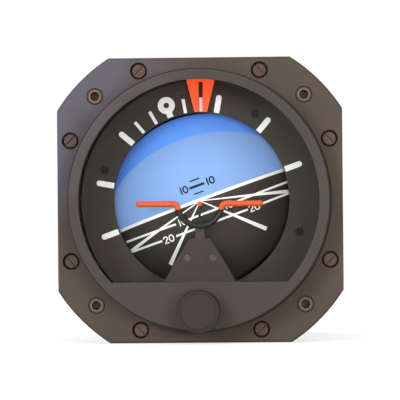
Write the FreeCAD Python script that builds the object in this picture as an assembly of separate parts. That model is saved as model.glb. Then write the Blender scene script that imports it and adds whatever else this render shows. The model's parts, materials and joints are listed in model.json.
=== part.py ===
import FreeCAD, Part
import math
import os

os.makedirs("parts", exist_ok=True)

# Air-driven attitude indicator for a standard 3 1/8 in. round panel hole.
# Frame, millimetres: +Z up, X to the pilot's right, +Y into the panel (towards the aircraft's nose).
# The origin is the centre of the four panel screws, on the flange face that seats against the panel.

V = FreeCAD.Vector
ORIGIN = V(0, 0, 0)
X_AXIS = V(1, 0, 0)
Y_AXIS = V(0, 1, 0)
Z_AXIS = V(0, 0, 1)
FULL_TURN = 360.0
REACH = 400.0                     # longer than the whole instrument: used for half-space cutters

# ---------------------------------------------------------------- clearances
fit_gap = 0.05                    # radial, round a piece pushed into its seat
slide_gap = 0.04                  # each side of the symbol's slide bar
running_gap = 0.03                # radial, a shaft turning in its bush
face_gap = 0.30                   # between pieces of different bodies, face to face
edge_line = 0.15                  # the fine line round the bezel ring
gear_backlash = 0.10              # thinning of each tooth along the pitch circle

# ---------------------------------------------------------------- mounting flange
flange_width = 85.73              # 3.375 in. across the flats
flange_land = 3.615               # flat left between the ring's hole and each side
flange_corner_reach = 7.935       # past each side, of the 4 in. circle that cuts the corners
flange_thickness = 5.0
flange_chamfer = 0.45
insert_ring_gap = 1.5558          # between insert and ring: a 2.475 in. square pattern of screws
insert_radius = 2.3
insert_bore_radius = 1.5
insert_floor = 0.6                # the inserts are closed behind
flange_screw_margin = 3.7         # screw centres outside the bezel ring
flange_screw_angle = 25.0         # each side of the four flats' centres
counterbore_radius = 2.5
counterbore_depth = 2.4
flange_head_radius = 2.15
flange_head_height = 1.7
flange_screw_radius = 1.4
flange_screw_length = 7.0
screw_slot_share = 0.28           # slot width over head radius, all slotted heads
screw_slot_depth_share = 0.45     # slot depth over head height
screw_crown_share = 0.18          # edge of the head over its height

# ---------------------------------------------------------------- bezel ring and glass
bezel_proud = 9.5                 # how far the ring stands in front of the panel face
bezel_lip_width = 3.25            # from the ring's outside to its opening
bezel_segment_height = 11.4       # of the plain lower part, from the opening's circle to its flat edge
bezel_register_step = 0.4         # the ring narrows where it enters the flange
edge_line_depth = 0.5
bezel_lip = 1.9
bezel_wall = 1.65
bezel_edge = 0.6                  # rounded outer front edge
rear_lip_width = 1.35
rear_lip_thickness = 1.5
glass_ledge = 1.8                 # how far the glass reaches below the opening's flat
glass_thickness = 2.2
glass_gasket_thickness = 0.5
gasket_margin = 0.25
retainer_thickness = 0.9
retainer_width = 1.3
segment_step = 1.6                # extra thickness of the lower segment below the glass

# ---------------------------------------------------------------- knob, pinion and symbol drive
knob_inset = 6.15                 # knob axis inside the ring's edge
knob_radius = 6.25                # the knob has to pass the panel's hole with the ring
knob_length = 8.0
knob_edge = 0.9
knob_stand_off = 0.5
knob_shaft_radius = 1.6
bushing_radius = 3.0
knob_boss_radius = 4.9
set_screw_radius = 0.9
pinion_teeth = 10
pinion_module = 0.4
pinion_width = 1.2
pressure_angle = 20.0             # of every tooth
tooth_root_share = 1.25           # of the module, below the pitch line
pinion_hub_radius = 2.05
rack_addendum = 0.20
rack_dedendum = 0.62
rack_root_overlap = 0.2           # the teeth start inside the prong
rack_spare = 1.8                  # modules of rack left over past each end of the travel
symbol_travel = 1.6               # each way from the middle

# ---------------------------------------------------------------- miniature aircraft
symbol_wire_radius = 0.875
symbol_drop = 1.17                # wings below centre
yoke_radius = 6.6                 # of the U under the dot
yoke_bend = 1.3
wing_tip = 19.1
dot_radius = 0.7
dot_post_radius = 0.35
glass_to_symbol = 0.5
bar_thickness = 1.0
bar_gap = 0.2                     # in front of the slide bar and behind it
bar_stem_width = 2.7
bar_width = 4.4
fork_width = 8.4
pedestal_thickness = 0.8
pedestal_yoke_gap = 2.855         # below the yoke's wire
pedestal_top_width = 6.2
pedestal_base_width = 21.8
pedestal_foot_width = 28.8
pedestal_foot_height = 4.0        # hidden, below the glass
pedestal_screw_offset = 5.9       # below the pedestal's top
pedestal_screw_spread = 7.6
small_screw_radius = 0.5
small_head_radius = 0.95
small_head_height = 0.5
foot_screw_spread = 23.0
foot_screw_edge = 1.2             # from the foot's lower edge
foot_boss_radius = 2.3
guide_width = 10.0
guide_height = 7.0
guide_thickness = 1.0
guide_shift = 1.5                 # lower than the screws that hold it

# ---------------------------------------------------------------- horizon shell, background and dial
rest_roll = -20.0                 # about +Y: the gimbal lies 20 degrees to the left at rest
shell_ring_gap = 0.6              # inside the gimbal's ring
shell_thickness = 0.6
shell_top = 40.0                  # elevation of the shell's upper edge
shell_bottom = 56.0               # below the line
gear_arm_gap = 0.8                # between the sector gears and the gimbal's arm
shell_hub_radius = 5.0
shell_bush_radius = 2.6
symbol_to_shell = 0.85
background_gap = 0.7
background_reach = 66.0           # elevation of its edges, each way
cheek_gap = 0.9                   # between the shell's cheeks and the background's
background_hub_radius = 4.0
stub_shaft_radius = 1.5
dial_overlap = 3.4                # of the dial over the shell's edge
dial_rim_gap = 1.2
dial_thickness = 1.0
dial_to_shell = 1.7
dial_screw_inset = 4.4
dial_screw_angle = 52.0           # from the zero mark, both sides, and again below
dial_head_radius = 1.2
dial_head_height = 0.4
dial_slot_angle = 20.0
index_gap = 1.0
index_thickness = 0.7
index_top_hidden = 0.9            # above the ring's opening
index_tip_gap = 0.3               # above the dial's window
index_top_width = 8.8
index_tip_width = 3.8
index_slot = 1.3
index_tab_width = 7.0

# ---------------------------------------------------------------- case
case_step = 0.55                  # wider than the bezel ring
case_wall = 2.0
case_flange_land = 1.6
case_flange_thickness = 4.0
case_lug_radius = 3.1
case_gasket_thickness = 0.5
case_edge = 1.0
race_seat_depth = 1.3             # of the front bearing's seat in the case
seat_shoulder = 1.2
seat_slope = 1.5
rear_boss_length = 9.0
rear_screw_inset = 5.2
rear_boss_overlap = 0.4           # of the bosses into the case's wall
rear_screw_count = 6
rear_screw_first = 15.0
rear_screw_radius = 1.3
rear_head_radius = 2.5
rear_head_height = 1.8
rear_screw_length = 7.5
rear_slot_angle = 30.0

# ---------------------------------------------------------------- roll gimbal and its bearings
race_thickness = 1.3
race_shoulder_share = 0.6         # of the inner race, held by the gimbal's shoulder
front_ball_radius = 0.85
front_ball_count = 16
front_race_width = 5.0
gimbal_ring_inset = 5.9           # inside the front bearing's outer race
gimbal_lip_step = 1.6
gimbal_lip_thickness = 1.6
gimbal_lip_slope = 0.4
gimbal_flange_inset = 1.5         # inside the front bearing's outer race
gimbal_flange_gap = 1.8           # behind the front bearing
gimbal_flange_thickness = 2.2
arm_inset = 0.5                   # inside the gimbal's flange
arm_thickness = 3.5
arm_half_height = 11.0
arm_waist = 7.5
arm_flare = 3.0                   # taller where the arms leave the ring
arm_boss_step = 2.0               # lower at the pitch axis
arm_waist_shift = 2.0
arm_boss_radius = 8.0
gimbal_rear_wall = 3.5
gimbal_corner_radius = 9.0
rear_hub_radius = 9.0
rear_hub_length = 2.0
trunnion_radius = 5.0
trunnion_bore = 3.0
trunnion_collar = 6.0
trunnion_length = 11.0
trunnion_collar_thickness = 1.6
collar_gap = 0.1
rear_race_outer = 9.5
rear_race_width = 5.0
rear_race_thickness = 1.35
rear_ball_radius = 0.85
rear_ball_count = 8
ball_gap = 0.03
balance_weight_radius = 5.0
left_weight_thickness = 4.6       # heavier on the left: it balances the gears on the right
right_weight_thickness = 1.5
balance_weight_inset = 9.0        # inside the arms

# ---------------------------------------------------------------- rotor housing
centre_distance = 36.0            # pitch axis behind the shell's axis
shell_gear_teeth = 80
pitch_gear_teeth = 64
gear_width = 1.3
gear_rim = 2.6
gear_spoke_share = 0.28           # half a spoke's width to the hub's radius
weight_spoke_share = 0.7          # the same, for the counterweight's one spoke
counterweight_width = 1.7
counterweight_rim = 7.0           # radial depth of the shell's counterweight
shell_gear_reach = 53.0           # half angle of the toothed sector
pitch_gear_reach = 72.0
housing_arm_gap = 7.0
housing_wall = 1.6
housing_edge = 1.6                # slope round the cover
housing_floor = 14.2              # below the pitch axis
housing_split = 6.5               # cover joint above the pitch axis
housing_foot_edge = 1.2           # slope round the cup's bottom
housing_top = 14.2
housing_lug_radius = 2.0
housing_screw_count = 6
housing_screw_radius = 0.8
housing_head_radius = 1.5
housing_head_height = 1.0
housing_flange = 1.4
housing_head_gap = 0.2            # between a screw's head and the cover's wall
side_boss_radius = 5.6
side_boss_gap = 0.6               # between the boss and the pitch gear
pitch_shaft_radius = 3.0
pitch_shaft_bore = 1.4
pitch_shaft_seat = 0.4            # short of the housing's inside
pitch_race_outer = 6.2
pitch_race_split = 4.5
sweep_gap = 1.914                 # between the housing's sweep and the gimbal's rear wall
rotor_gap = 1.6                   # round the rotor, in its housing
rotor_half_height = 9.0
rotor_web_half = 2.6
rotor_rim_depth = 6.3
rotor_hub_radius = 4.2
rotor_hub_half = 8.0
rotor_edge = 0.8                  # slope of the rim's outer edges and of the hub's foot
rotor_rim_slope = 1.0             # of the rim's inner edges
jet_port_offset = 5.6             # of the air jets under the rotor, from the pitch axis
jet_port_spread = 1.15            # of a port's width, to each side
bucket_count = 24
bucket_radius = 1.9
bucket_half_height = 3.2
bucket_stand_share = 0.25         # of the bucket's radius, outside the rotor
rotor_shaft_radius = 1.5
rotor_race_radius = 4.0
rotor_race_height = 2.6
rotor_boss_radius = 5.2
rotor_boss_height = 1.4
balance_stud_radius = 1.6
balance_nut_radius = 4.6
balance_nut_height = 2.6

# ---------------------------------------------------------------- pendulous vanes
vane_block_width = 15.0
vane_block_drop = 24.4            # its lower face, below the pitch axis
vane_block_wall = 1.2
vane_port_width = 5.0
vane_port_height = 4.4
vane_port_drop = 21.4
vane_shaft_radius = 0.6
vane_shaft_end = 9.1
vane_cross_drop = 16.1            # shaft of the left and right vanes
vane_fore_drop = 18.0             # shaft of the front and rear vanes
vane_thickness = 0.7
vane_width = 3.6
vane_tip_drop = 25.0

# ---------------------------------------------------------------- rear cover and air fittings
cover_thickness = 3.5
cover_gasket_thickness = 0.5
cover_spigot_gap = 0.3            # inside the case's screw bosses
cover_spigot_wall = 1.8
cover_spigot_depth = 2.5
bearing_hub_radius = 12.5
bearing_hub_reach = 11.5          # in front of the cover
bearing_hub_bore = 7.5
port_cup_gap = 2.5                # between the port's boss and the filter's cup
filter_cup_wall = 1.5
filter_cup_depth = 12.0
filter_post_radius = 2.6
filter_inner = 6.5
filter_air_hole = 1.3
filter_air_circle = 5.0
filter_air_count = 6
hub_floor_overlap = 0.2
cover_rib_half = 0.8              # half thickness of the ribs inside the cover
hub_slope = 0.6
filter_cap_thickness = 1.6
cap_edge = 0.64
cap_rim = 2.3                     # outside the cap's circles of holes
cap_web = 0.3                     # round each hole
cap_hole_counts = (8, 14)
cap_screw_radius = 1.2
cap_head_radius = 3.2
cap_head_height = 1.6
cap_screw_length = 7.0
cap_screw_end_gap = 0.5
port_edge = 1.8                   # from the port's boss to the cover's rim
port_boss_radius = 9.0
port_boss_height = 2.0
port_hex_flats = 17.0
port_hex_turn = 15.0
port_hex_edge = 0.8
port_height = 13.0
port_stem_radius = 6.8
port_bore_radius = 5.55           # tapping bore of a 1/4 in. pipe thread
port_bore_length = 11.0
port_air_radius = 3.0

# ---------------------------------------------------------------- worked-out sizes
bezel_radius = flange_width / 2 - flange_land          # 39.25: the ring for a 3 1/8 in. hole
flange_corner_radius = flange_width / 2 + flange_corner_reach
flange_screw_circle = bezel_radius + flange_screw_margin
panel_bolt_circle = bezel_radius + rear_lip_width + insert_radius + insert_ring_gap
panel_bolt_spacing = panel_bolt_circle * math.sqrt(2.0)
bezel_opening = bezel_radius - bezel_lip_width
bezel_chord = bezel_opening - bezel_segment_height
bezel_register = bezel_radius - bezel_register_step
knob_drop = bezel_radius - knob_inset
case_radius = bezel_radius + case_step
case_inner = case_radius - case_wall
case_flange_radius = case_radius + case_flange_land
rear_screw_circle = case_radius - rear_screw_inset
rear_boss_radius = rear_screw_inset - case_wall + rear_boss_overlap
front_race_outer = case_inner - race_seat_depth
gimbal_ring_inner = front_race_outer - gimbal_ring_inset
gimbal_lip_inner = gimbal_ring_inner - gimbal_lip_step
gimbal_flange_radius = front_race_outer - gimbal_flange_inset
arm_outer = gimbal_flange_radius - arm_inset
arm_inner = arm_outer - arm_thickness
balance_weight_offset = arm_inner - balance_weight_inset
shell_radius = gimbal_ring_inner - shell_ring_gap
shell_inner = shell_radius - shell_thickness
shell_cheek = arm_inner - gear_arm_gap - gear_width
background_radius = shell_inner - background_gap
background_inner = background_radius - shell_thickness
background_cheek = shell_cheek - shell_thickness - cheek_gap
dial_window = shell_radius - dial_overlap
dial_radius = case_inner - dial_rim_gap
dial_screw_circle = dial_window + dial_screw_inset
index_top = bezel_opening + index_top_hidden
index_tip = dial_window + index_tip_gap
housing_radius = arm_inner - housing_arm_gap
housing_sweep = math.hypot(housing_radius, housing_top)
side_boss_reach = shell_cheek - side_boss_gap
rotor_radius = housing_radius - housing_wall - rotor_gap
rotor_rim_inner = rotor_radius - rotor_rim_depth
cover_spigot_outer = rear_screw_circle - rear_boss_radius - cover_spigot_gap
port_offset = (case_radius - port_boss_radius - port_edge) * math.sqrt(0.5)
filter_cup_radius = case_radius - port_edge - 2 * port_boss_radius - port_cup_gap
cap_hole_pitch = (filter_cup_radius - filter_cup_wall - filter_inner - cap_rim) / 2
cap_hole_radius = cap_hole_pitch / 2 - cap_web
glass_seat_radius = bezel_radius - bezel_wall
glass_radius = glass_seat_radius - fit_gap
glass_flat = bezel_chord + glass_ledge
pedestal_top = symbol_drop + yoke_radius + symbol_wire_radius + pedestal_yoke_gap
pedestal_screw_drop = pedestal_top + pedestal_screw_offset
pedestal_foot_drop = glass_flat + pedestal_foot_height
foot_screw_drop = pedestal_foot_drop - foot_screw_edge

# ---------------------------------------------------------------- worked-out places
y_bezel_front = -bezel_proud
y_lip_rear = y_bezel_front + bezel_lip
y_glass_front = y_lip_rear + glass_gasket_thickness
y_glass_rear = y_glass_front + glass_thickness
y_symbol = y_glass_rear + glass_to_symbol + symbol_wire_radius
y_pedestal = y_glass_rear + glass_to_symbol + face_gap
y_bar_front = y_pedestal + pedestal_thickness + bar_gap
y_bar_rear = y_bar_front + bar_thickness
y_guide_back = y_bar_rear + bar_gap
y_shell_front = y_symbol + symbol_wire_radius + symbol_to_shell
y_shell_axis = y_shell_front + shell_radius
y_dial_rear = y_shell_axis - math.sqrt(shell_radius ** 2 - dial_window ** 2) - dial_to_shell
y_dial_front = y_dial_rear - dial_thickness
y_index_rear = y_dial_front - index_gap
y_index_front = y_index_rear - index_thickness
y_front_race = y_dial_rear + gimbal_lip_thickness
y_race_rear = y_front_race + front_race_width
y_gimbal_flange = y_race_rear + gimbal_flange_gap
y_arm_start = y_gimbal_flange + gimbal_flange_thickness / 2
y_pitch_axis = y_shell_axis + centre_distance
y_rear_wall = y_pitch_axis + housing_sweep + sweep_gap
y_rear_wall_back = y_rear_wall + gimbal_rear_wall
y_collar_rear = y_rear_wall_back + rear_hub_length + trunnion_collar_thickness
y_rear_race = y_collar_rear + collar_gap
y_case_front = flange_thickness + case_gasket_thickness
y_cover_hub = y_rear_race
y_case_rear = y_cover_hub + bearing_hub_reach - cover_gasket_thickness
y_cover_front = y_case_rear + cover_gasket_thickness
y_cover_rear = y_cover_front + cover_thickness
y_cup_rear = y_cover_rear + filter_cup_depth
gear_module = 2.0 * centre_distance / (shell_gear_teeth + pitch_gear_teeth)
x_gear_rear = shell_cheek + gear_width
x_bush_end = arm_inner - face_gap
z_symbol = -symbol_drop
z_knob = -knob_drop


# ================================================================ shared shapes
def rod(radius, start, end):
    """A round bar between two points."""
    span = end.sub(start)
    return Part.makeCylinder(radius, span.Length, start, span)


def disc_y(radius, y0, y1, x=0.0, z=0.0):
    """A round bar along Y."""
    return rod(radius, V(x, y0, z), V(x, y1, z))


def ring_y(outer, inner, y0, y1):
    """A plain ring about the Y axis."""
    return disc_y(outer, y0, y1).cut(disc_y(inner, y0, y1))


def block(x0, x1, y0, y1, z0, z1):
    """A box between two corners."""
    return Part.makeBox(x1 - x0, y1 - y0, z1 - z0, V(x0, y0, z0))


def plate(points):
    """A flat face from a closed outline of points."""
    return Part.Face(Part.makePolygon(points + [points[0]]))


def turned_y(profile):
    """A turned piece: radius and y pairs revolved about the Y axis."""
    face = plate([V(radius, y, 0) for radius, y in profile])
    return face.revolve(ORIGIN, Y_AXIS, FULL_TURN)


def turned_z(profile):
    """A turned piece about the vertical line through the pitch axis: radius and height pairs."""
    face = plate([V(radius, y_pitch_axis, z) for radius, z in profile])
    return face.revolve(V(0, y_pitch_axis, 0), Z_AXIS, FULL_TURN)


def around_y(shape, angle, centre=ORIGIN):
    """A copy of a shape turned about a line along Y."""
    turned = shape.copy()
    turned.rotate(centre, Y_AXIS, angle)
    return turned


def rolled(shape):
    """Lays a piece of the gimbal at the roll angle that it rests at."""
    return around_y(shape, rest_roll)


def joined(shapes):
    """One solid from several that overlap."""
    return shapes[0].multiFuse(shapes[1:]).removeSplitter()


def above(z):
    """Everything over a height."""
    return block(-REACH, REACH, -REACH, REACH, z, REACH)


def write(node, solids):
    """Writes one node, with one solid or a group of separate ones."""
    shape = solids[0] if len(solids) == 1 else Part.makeCompound(solids)
    shape.exportStep("parts/" + node + ".step")


def slotted_screw(head_radius, head_height, shank_radius, shank_length, slot_angle):
    """A slotted screw along Y: the top of its head at y = 0, the slot turned from level."""
    head = disc_y(head_radius, 0, head_height)
    crown = head_height * screw_crown_share
    head = head.makeChamfer(crown, [head.Edges[i] for i in top_edges(head, 0)])
    shank = disc_y(shank_radius, head_height, head_height + shank_length)
    slot_half = head_radius * screw_slot_share / 2
    slot = block(-head_radius, head_radius, -1, head_height * screw_slot_depth_share,
                 -slot_half, slot_half)
    return joined([head, shank]).cut(around_y(slot, slot_angle))


def top_edges(shape, y):
    """Indices of the round edges that lie at one y."""
    found = []
    for index, edge in enumerate(shape.Edges):
        box = edge.BoundBox
        if abs(box.YMin - y) < 1e-6 and abs(box.YMax - y) < 1e-6 and box.XLength > 1e-6:
            found.append(index)
    return found


# ================================================================ flange and its fasteners
def flange_outline(y0, y1):
    """The square with its corners cut by a circle."""
    half = flange_width / 2
    return block(-half, half, y0, y1, -half, half).common(disc_y(flange_corner_radius, y0, y1))


def corner_places():
    """Centres of the four panel screws."""
    half = panel_bolt_spacing / 2
    return [(x, z) for x in (-half, half) for z in (-half, half)]


def flange_screw_places():
    """Centre and slot angle of each of the eight flange screws."""
    places = []
    for quarter in range(4):
        for side in (-1, 1):
            angle = math.radians(90.0 * quarter + side * flange_screw_angle)
            x = flange_screw_circle * math.sin(angle)
            z = flange_screw_circle * math.cos(angle)
            slot_angle = 45.0 if x * z > 0 else -45.0
            places.append((x, z, slot_angle))
    return places


def mounting_flange():
    body = flange_outline(0, flange_thickness)
    body = body.makeChamfer(flange_chamfer, [body.Edges[i] for i in top_edges(body, 0)])
    cuts = [disc_y(bezel_register + edge_line, -1, flange_thickness + 1)]
    cuts.append(disc_y(bezel_radius + edge_line, -1, edge_line_depth))
    recess = bezel_radius + rear_lip_width + edge_line
    cuts.append(disc_y(recess, flange_thickness - rear_lip_thickness, flange_thickness + 1))
    for x, z in corner_places():
        cuts.append(disc_y(insert_radius + fit_gap, -1, flange_thickness + 1, x, z))
    for x, z, slot_angle in flange_screw_places():
        cuts.append(disc_y(counterbore_radius, -1, counterbore_depth, x, z))
        cuts.append(disc_y(flange_screw_radius + fit_gap, -1, flange_thickness + 1, x, z))
    return [body.cut(cuts)]


def mount_inserts():
    solids = []
    for x, z in corner_places():
        sleeve = disc_y(insert_radius, 0, flange_thickness, x, z)
        solids.append(sleeve.cut(disc_y(insert_bore_radius, -1, flange_thickness - insert_floor, x, z)))
    return solids


def flange_screws():
    solids = []
    head_top = counterbore_depth - flange_head_height
    for x, z, slot_angle in flange_screw_places():
        screw = slotted_screw(flange_head_radius, flange_head_height, flange_screw_radius,
                              flange_screw_length, slot_angle)
        screw.translate(V(x, head_top, z))
        solids.append(screw)
    return solids


# ================================================================ bezel ring and window
def window_plate(radius, flat, y0, y1):
    """A disc with its lower part cut off flat."""
    return disc_y(radius, y0, y1).common(above(-flat))


def bezel_ring():
    y_lip = flange_thickness - rear_lip_thickness
    rear_radius = bezel_radius + rear_lip_width
    ring = turned_y([(glass_seat_radius, y_bezel_front), (bezel_radius - bezel_edge, y_bezel_front),
                     (bezel_radius, y_bezel_front + bezel_edge), (bezel_radius, 0),
                     (bezel_register, 0), (bezel_register, y_lip),
                     (rear_radius, y_lip), (rear_radius, flange_thickness),
                     (glass_seat_radius, flange_thickness)])
    face = disc_y(glass_seat_radius + fit_gap, y_bezel_front, y_lip_rear)
    face = face.cut(window_plate(bezel_opening, bezel_chord, y_bezel_front - 1, y_lip_rear + 1))
    below_glass = glass_flat + fit_gap
    step = disc_y(glass_seat_radius + fit_gap, y_bezel_front, y_lip_rear + segment_step)
    step = step.cut(above(-below_glass))
    boss = disc_y(knob_boss_radius, y_lip_rear, y_glass_rear, 0, z_knob)
    boss = boss.common(disc_y(bezel_radius - fit_gap, y_lip_rear, y_glass_rear))
    feet = [disc_y(foot_boss_radius, y_lip_rear, y_pedestal, side * foot_screw_spread / 2, -foot_screw_drop)
            for side in (-1, 1)]
    body = joined([ring, face, step, boss] + feet)
    cuts = [disc_y(bushing_radius, y_bezel_front - 1, y_glass_rear + 1, 0, z_knob)]
    for side in (-1, 1):
        x = side * foot_screw_spread / 2
        cuts.append(disc_y(small_screw_radius, y_lip_rear, y_pedestal + 1, x, -foot_screw_drop))
    return [body.cut(cuts)]


def glass_gasket():
    outer = window_plate(glass_radius, glass_flat, y_lip_rear, y_glass_front)
    inner = window_plate(bezel_opening + gasket_margin, bezel_chord + gasket_margin,
                         y_lip_rear - 1, y_glass_front + 1)
    return [outer.cut(inner)]


def cover_glass():
    return [window_plate(glass_radius, glass_flat, y_glass_front, y_glass_rear)]


def glass_retainer():
    """A spring ring, open at the bottom, that snaps in behind the glass."""
    ring = ring_y(glass_radius, glass_radius - retainer_width, y_glass_rear,
                  y_glass_rear + retainer_thickness)
    return [ring.common(above(-bezel_chord + gasket_margin))]


def bank_index():
    """The split wedge over the dial, on a curved tab that runs forward inside the ring."""
    half_top = index_top_width / 2
    half_tip = index_tip_width / 2
    wedge = plate([V(-half_top, y_index_front, index_top), V(half_top, y_index_front, index_top),
                   V(half_tip, y_index_front, index_tip), V(-half_tip, y_index_front, index_tip)])
    wedge = wedge.extrude(V(0, index_thickness, 0))
    slot_half = index_slot / 2
    wedge = wedge.cut(block(-slot_half, slot_half, y_index_front - 1, y_index_rear + 1,
                            index_tip - 1, bezel_opening))
    tab_half = index_tab_width / 2
    y_tab = y_glass_rear + retainer_thickness
    tab = ring_y(glass_radius, bezel_opening + gasket_margin, y_tab, y_index_rear)
    tab = tab.common(block(-tab_half, tab_half, y_tab, y_index_rear, 0, REACH))
    return [joined([wedge, tab])]


# ================================================================ knob, rack and pinion
def involute(angle):
    return math.tan(angle) - angle


def tooth_flank(teeth, module, addendum, dedendum, steps):
    """Radius and half angle pairs up one flank of an involute tooth, root first."""
    pressure = math.radians(pressure_angle)
    pitch_radius = module * teeth / 2
    base_radius = pitch_radius * math.cos(pressure)
    half_at_pitch = math.pi / (2 * teeth) - gear_backlash / (2 * pitch_radius)
    root = pitch_radius - dedendum
    tip = pitch_radius + addendum
    start = max(root, base_radius)
    radii = [start + (tip - start) * i / steps for i in range(steps + 1)]
    flank = []
    for radius in radii:
        at_radius = math.acos(min(1.0, base_radius / radius))
        flank.append((radius, half_at_pitch + involute(pressure) - involute(at_radius)))
    if root < base_radius:
        flank.insert(0, (root, flank[0][1]))
    return flank


def toothed_edge(flank, teeth, first, last, offset):
    """Outline of a run of teeth as radius and angle pairs, in the order of rising angle."""
    outline = []
    for tooth in range(first, last + 1):
        middle = 2 * math.pi * (tooth + offset) / teeth
        outline += [(radius, middle - half) for radius, half in flank]
        outline += [(radius, middle + half) for radius, half in reversed(flank)]
    return outline


def knob_bushing():
    tube = disc_y(bushing_radius, y_bezel_front, y_glass_rear, 0, z_knob)
    bore = disc_y(knob_shaft_radius + running_gap, y_bezel_front - 1, y_glass_rear + 1, 0, z_knob)
    return [tube.cut(bore)]


def knob_rear():
    return y_bezel_front - knob_stand_off


def adjust_knob():
    rear = knob_rear()
    front = rear - knob_length
    body = disc_y(knob_radius, front, rear, 0, z_knob)
    body = body.makeFillet(knob_edge, [body.Edges[i] for i in top_edges(body, front)])
    bore_front = front + knob_length / 3
    body = body.cut(disc_y(knob_shaft_radius, bore_front, rear + 1, 0, z_knob))
    y_screw = rear - knob_length / 3
    hole = rod(set_screw_radius, V(0, y_screw, z_knob), V(0, y_screw, z_knob - knob_radius - 1))
    return [body.cut(hole)]


def knob_set_screw():
    y_screw = knob_rear() - knob_length / 3
    tip = V(0, y_screw, z_knob - knob_shaft_radius)
    end = V(0, y_screw, z_knob - knob_radius + face_gap)
    screw = rod(set_screw_radius, tip, end)
    shaft = disc_y(knob_shaft_radius, y_screw - knob_length, y_screw + knob_length, 0, z_knob)
    return [screw.cut(shaft)]


def pinion_front():
    return (y_bar_front + y_bar_rear - pinion_width) / 2


def knob_shaft():
    start = knob_rear() - knob_length * 2 / 3
    end = pinion_front() + pinion_width
    return [disc_y(knob_shaft_radius, start, end, 0, z_knob)]


def knob_pinion():
    flank = tooth_flank(pinion_teeth, pinion_module, pinion_module, tooth_root_share * pinion_module, 3)
    points = []
    for radius, angle in toothed_edge(flank, pinion_teeth, 0, pinion_teeth - 1, 0.0):
        points.append(V(-radius * math.cos(angle), pinion_front(), z_knob + radius * math.sin(angle)))
    gear = plate(points).extrude(V(0, pinion_width, 0))
    hub = disc_y(pinion_hub_radius, y_glass_rear + face_gap, pinion_front(), 0, z_knob)
    bore = disc_y(knob_shaft_radius, y_glass_rear - 1, y_bar_rear + 1, 0, z_knob)
    return [joined([gear, hub]).cut(bore)]


def symbol_slide_bar():
    """The upright bar that carries the miniature aircraft, with a fork and rack round the pinion."""
    pitch_radius = pinion_module * pinion_teeth / 2
    tip_radius = pitch_radius + pinion_module
    stem_half = bar_stem_width / 2
    bar_half = bar_width / 2
    fork_half = fork_width / 2
    z_top = z_symbol - yoke_radius + symbol_wire_radius
    z_wide = -pedestal_top - symbol_travel - face_gap
    z_fork_top = -glass_flat - face_gap
    z_window = z_knob + tip_radius + symbol_travel + face_gap
    z_bottom = z_knob - symbol_travel - pinion_module * rack_spare
    bar = plate([V(-stem_half, y_bar_front, z_top), V(stem_half, y_bar_front, z_top),
                 V(stem_half, y_bar_front, z_wide), V(bar_half, y_bar_front, z_wide),
                 V(bar_half, y_bar_front, z_fork_top), V(fork_half, y_bar_front, z_fork_top - 1),
                 V(fork_half, y_bar_front, z_bottom + 1), V(fork_half - 1, y_bar_front, z_bottom),
                 V(1 - fork_half, y_bar_front, z_bottom), V(-fork_half, y_bar_front, z_bottom + 1),
                 V(-fork_half, y_bar_front, z_fork_top - 1), V(-bar_half, y_bar_front, z_fork_top),
                 V(-bar_half, y_bar_front, z_wide), V(-stem_half, y_bar_front, z_wide)])
    bar = bar.extrude(V(0, bar_thickness, 0))
    window = block(-pitch_radius - rack_dedendum, tip_radius + face_gap, y_bar_front - 1,
                   y_bar_rear + 1, z_bottom - 1, z_window)
    bar = bar.cut(window)
    rack_end = symbol_travel + pinion_module * rack_spare
    bar = joined([bar] + rack_teeth(z_knob - rack_end, z_knob + rack_end))
    return [bar.cut(aircraft_symbol()[0])]


def rack_teeth(z_low, z_high):
    """Straight-sided rack teeth on the left prong, with a space level with the pinion's axis."""
    pitch = math.pi * pinion_module
    pitch_line = -pinion_module * pinion_teeth / 2
    slope = math.tan(math.radians(pressure_angle))
    half_pitch_width = pitch / 4 - gear_backlash / 2
    x_root = pitch_line - rack_dedendum - rack_root_overlap
    x_tip = pitch_line + rack_addendum
    teeth = []
    count = int((z_high - z_low) / pitch) + 1
    for index in range(-count, count):
        z_tooth = z_knob + (index + 0.5) * pitch
        if z_low + pitch / 2 < z_tooth < z_high - pitch / 2:
            root_half = half_pitch_width + slope * (rack_dedendum + rack_root_overlap)
            tip_half = half_pitch_width - slope * rack_addendum
            tooth = plate([V(x_root, y_bar_front, z_tooth - root_half),
                           V(x_tip, y_bar_front, z_tooth - tip_half),
                           V(x_tip, y_bar_front, z_tooth + tip_half),
                           V(x_root, y_bar_front, z_tooth + root_half)])
            teeth.append(tooth.extrude(V(0, bar_thickness, 0)))
    return teeth


# ================================================================ miniature aircraft and pedestal
def symbol_path():
    """Centre line of the bent wire: wing, small bend, U, small bend, wing."""
    x_turn = yoke_radius + yoke_bend
    z_u = z_symbol
    s = math.sqrt(0.5)
    left_in = V(-x_turn, y_symbol, z_u)
    right_in = V(x_turn, y_symbol, z_u)
    left_top = V(-yoke_radius, y_symbol, z_u - yoke_bend)
    right_top = V(yoke_radius, y_symbol, z_u - yoke_bend)
    left_mid = V(-x_turn + yoke_bend * s, y_symbol, z_u - yoke_bend + yoke_bend * s)
    right_mid = V(x_turn - yoke_bend * s, y_symbol, z_u - yoke_bend + yoke_bend * s)
    u_bottom = V(0, y_symbol, z_u - yoke_radius)
    left_end = V(-wing_tip + symbol_wire_radius, y_symbol, z_u)
    right_end = V(wing_tip - symbol_wire_radius, y_symbol, z_u)
    return left_end, left_in, left_mid, left_top, u_bottom, right_top, right_mid, right_in, right_end


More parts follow.
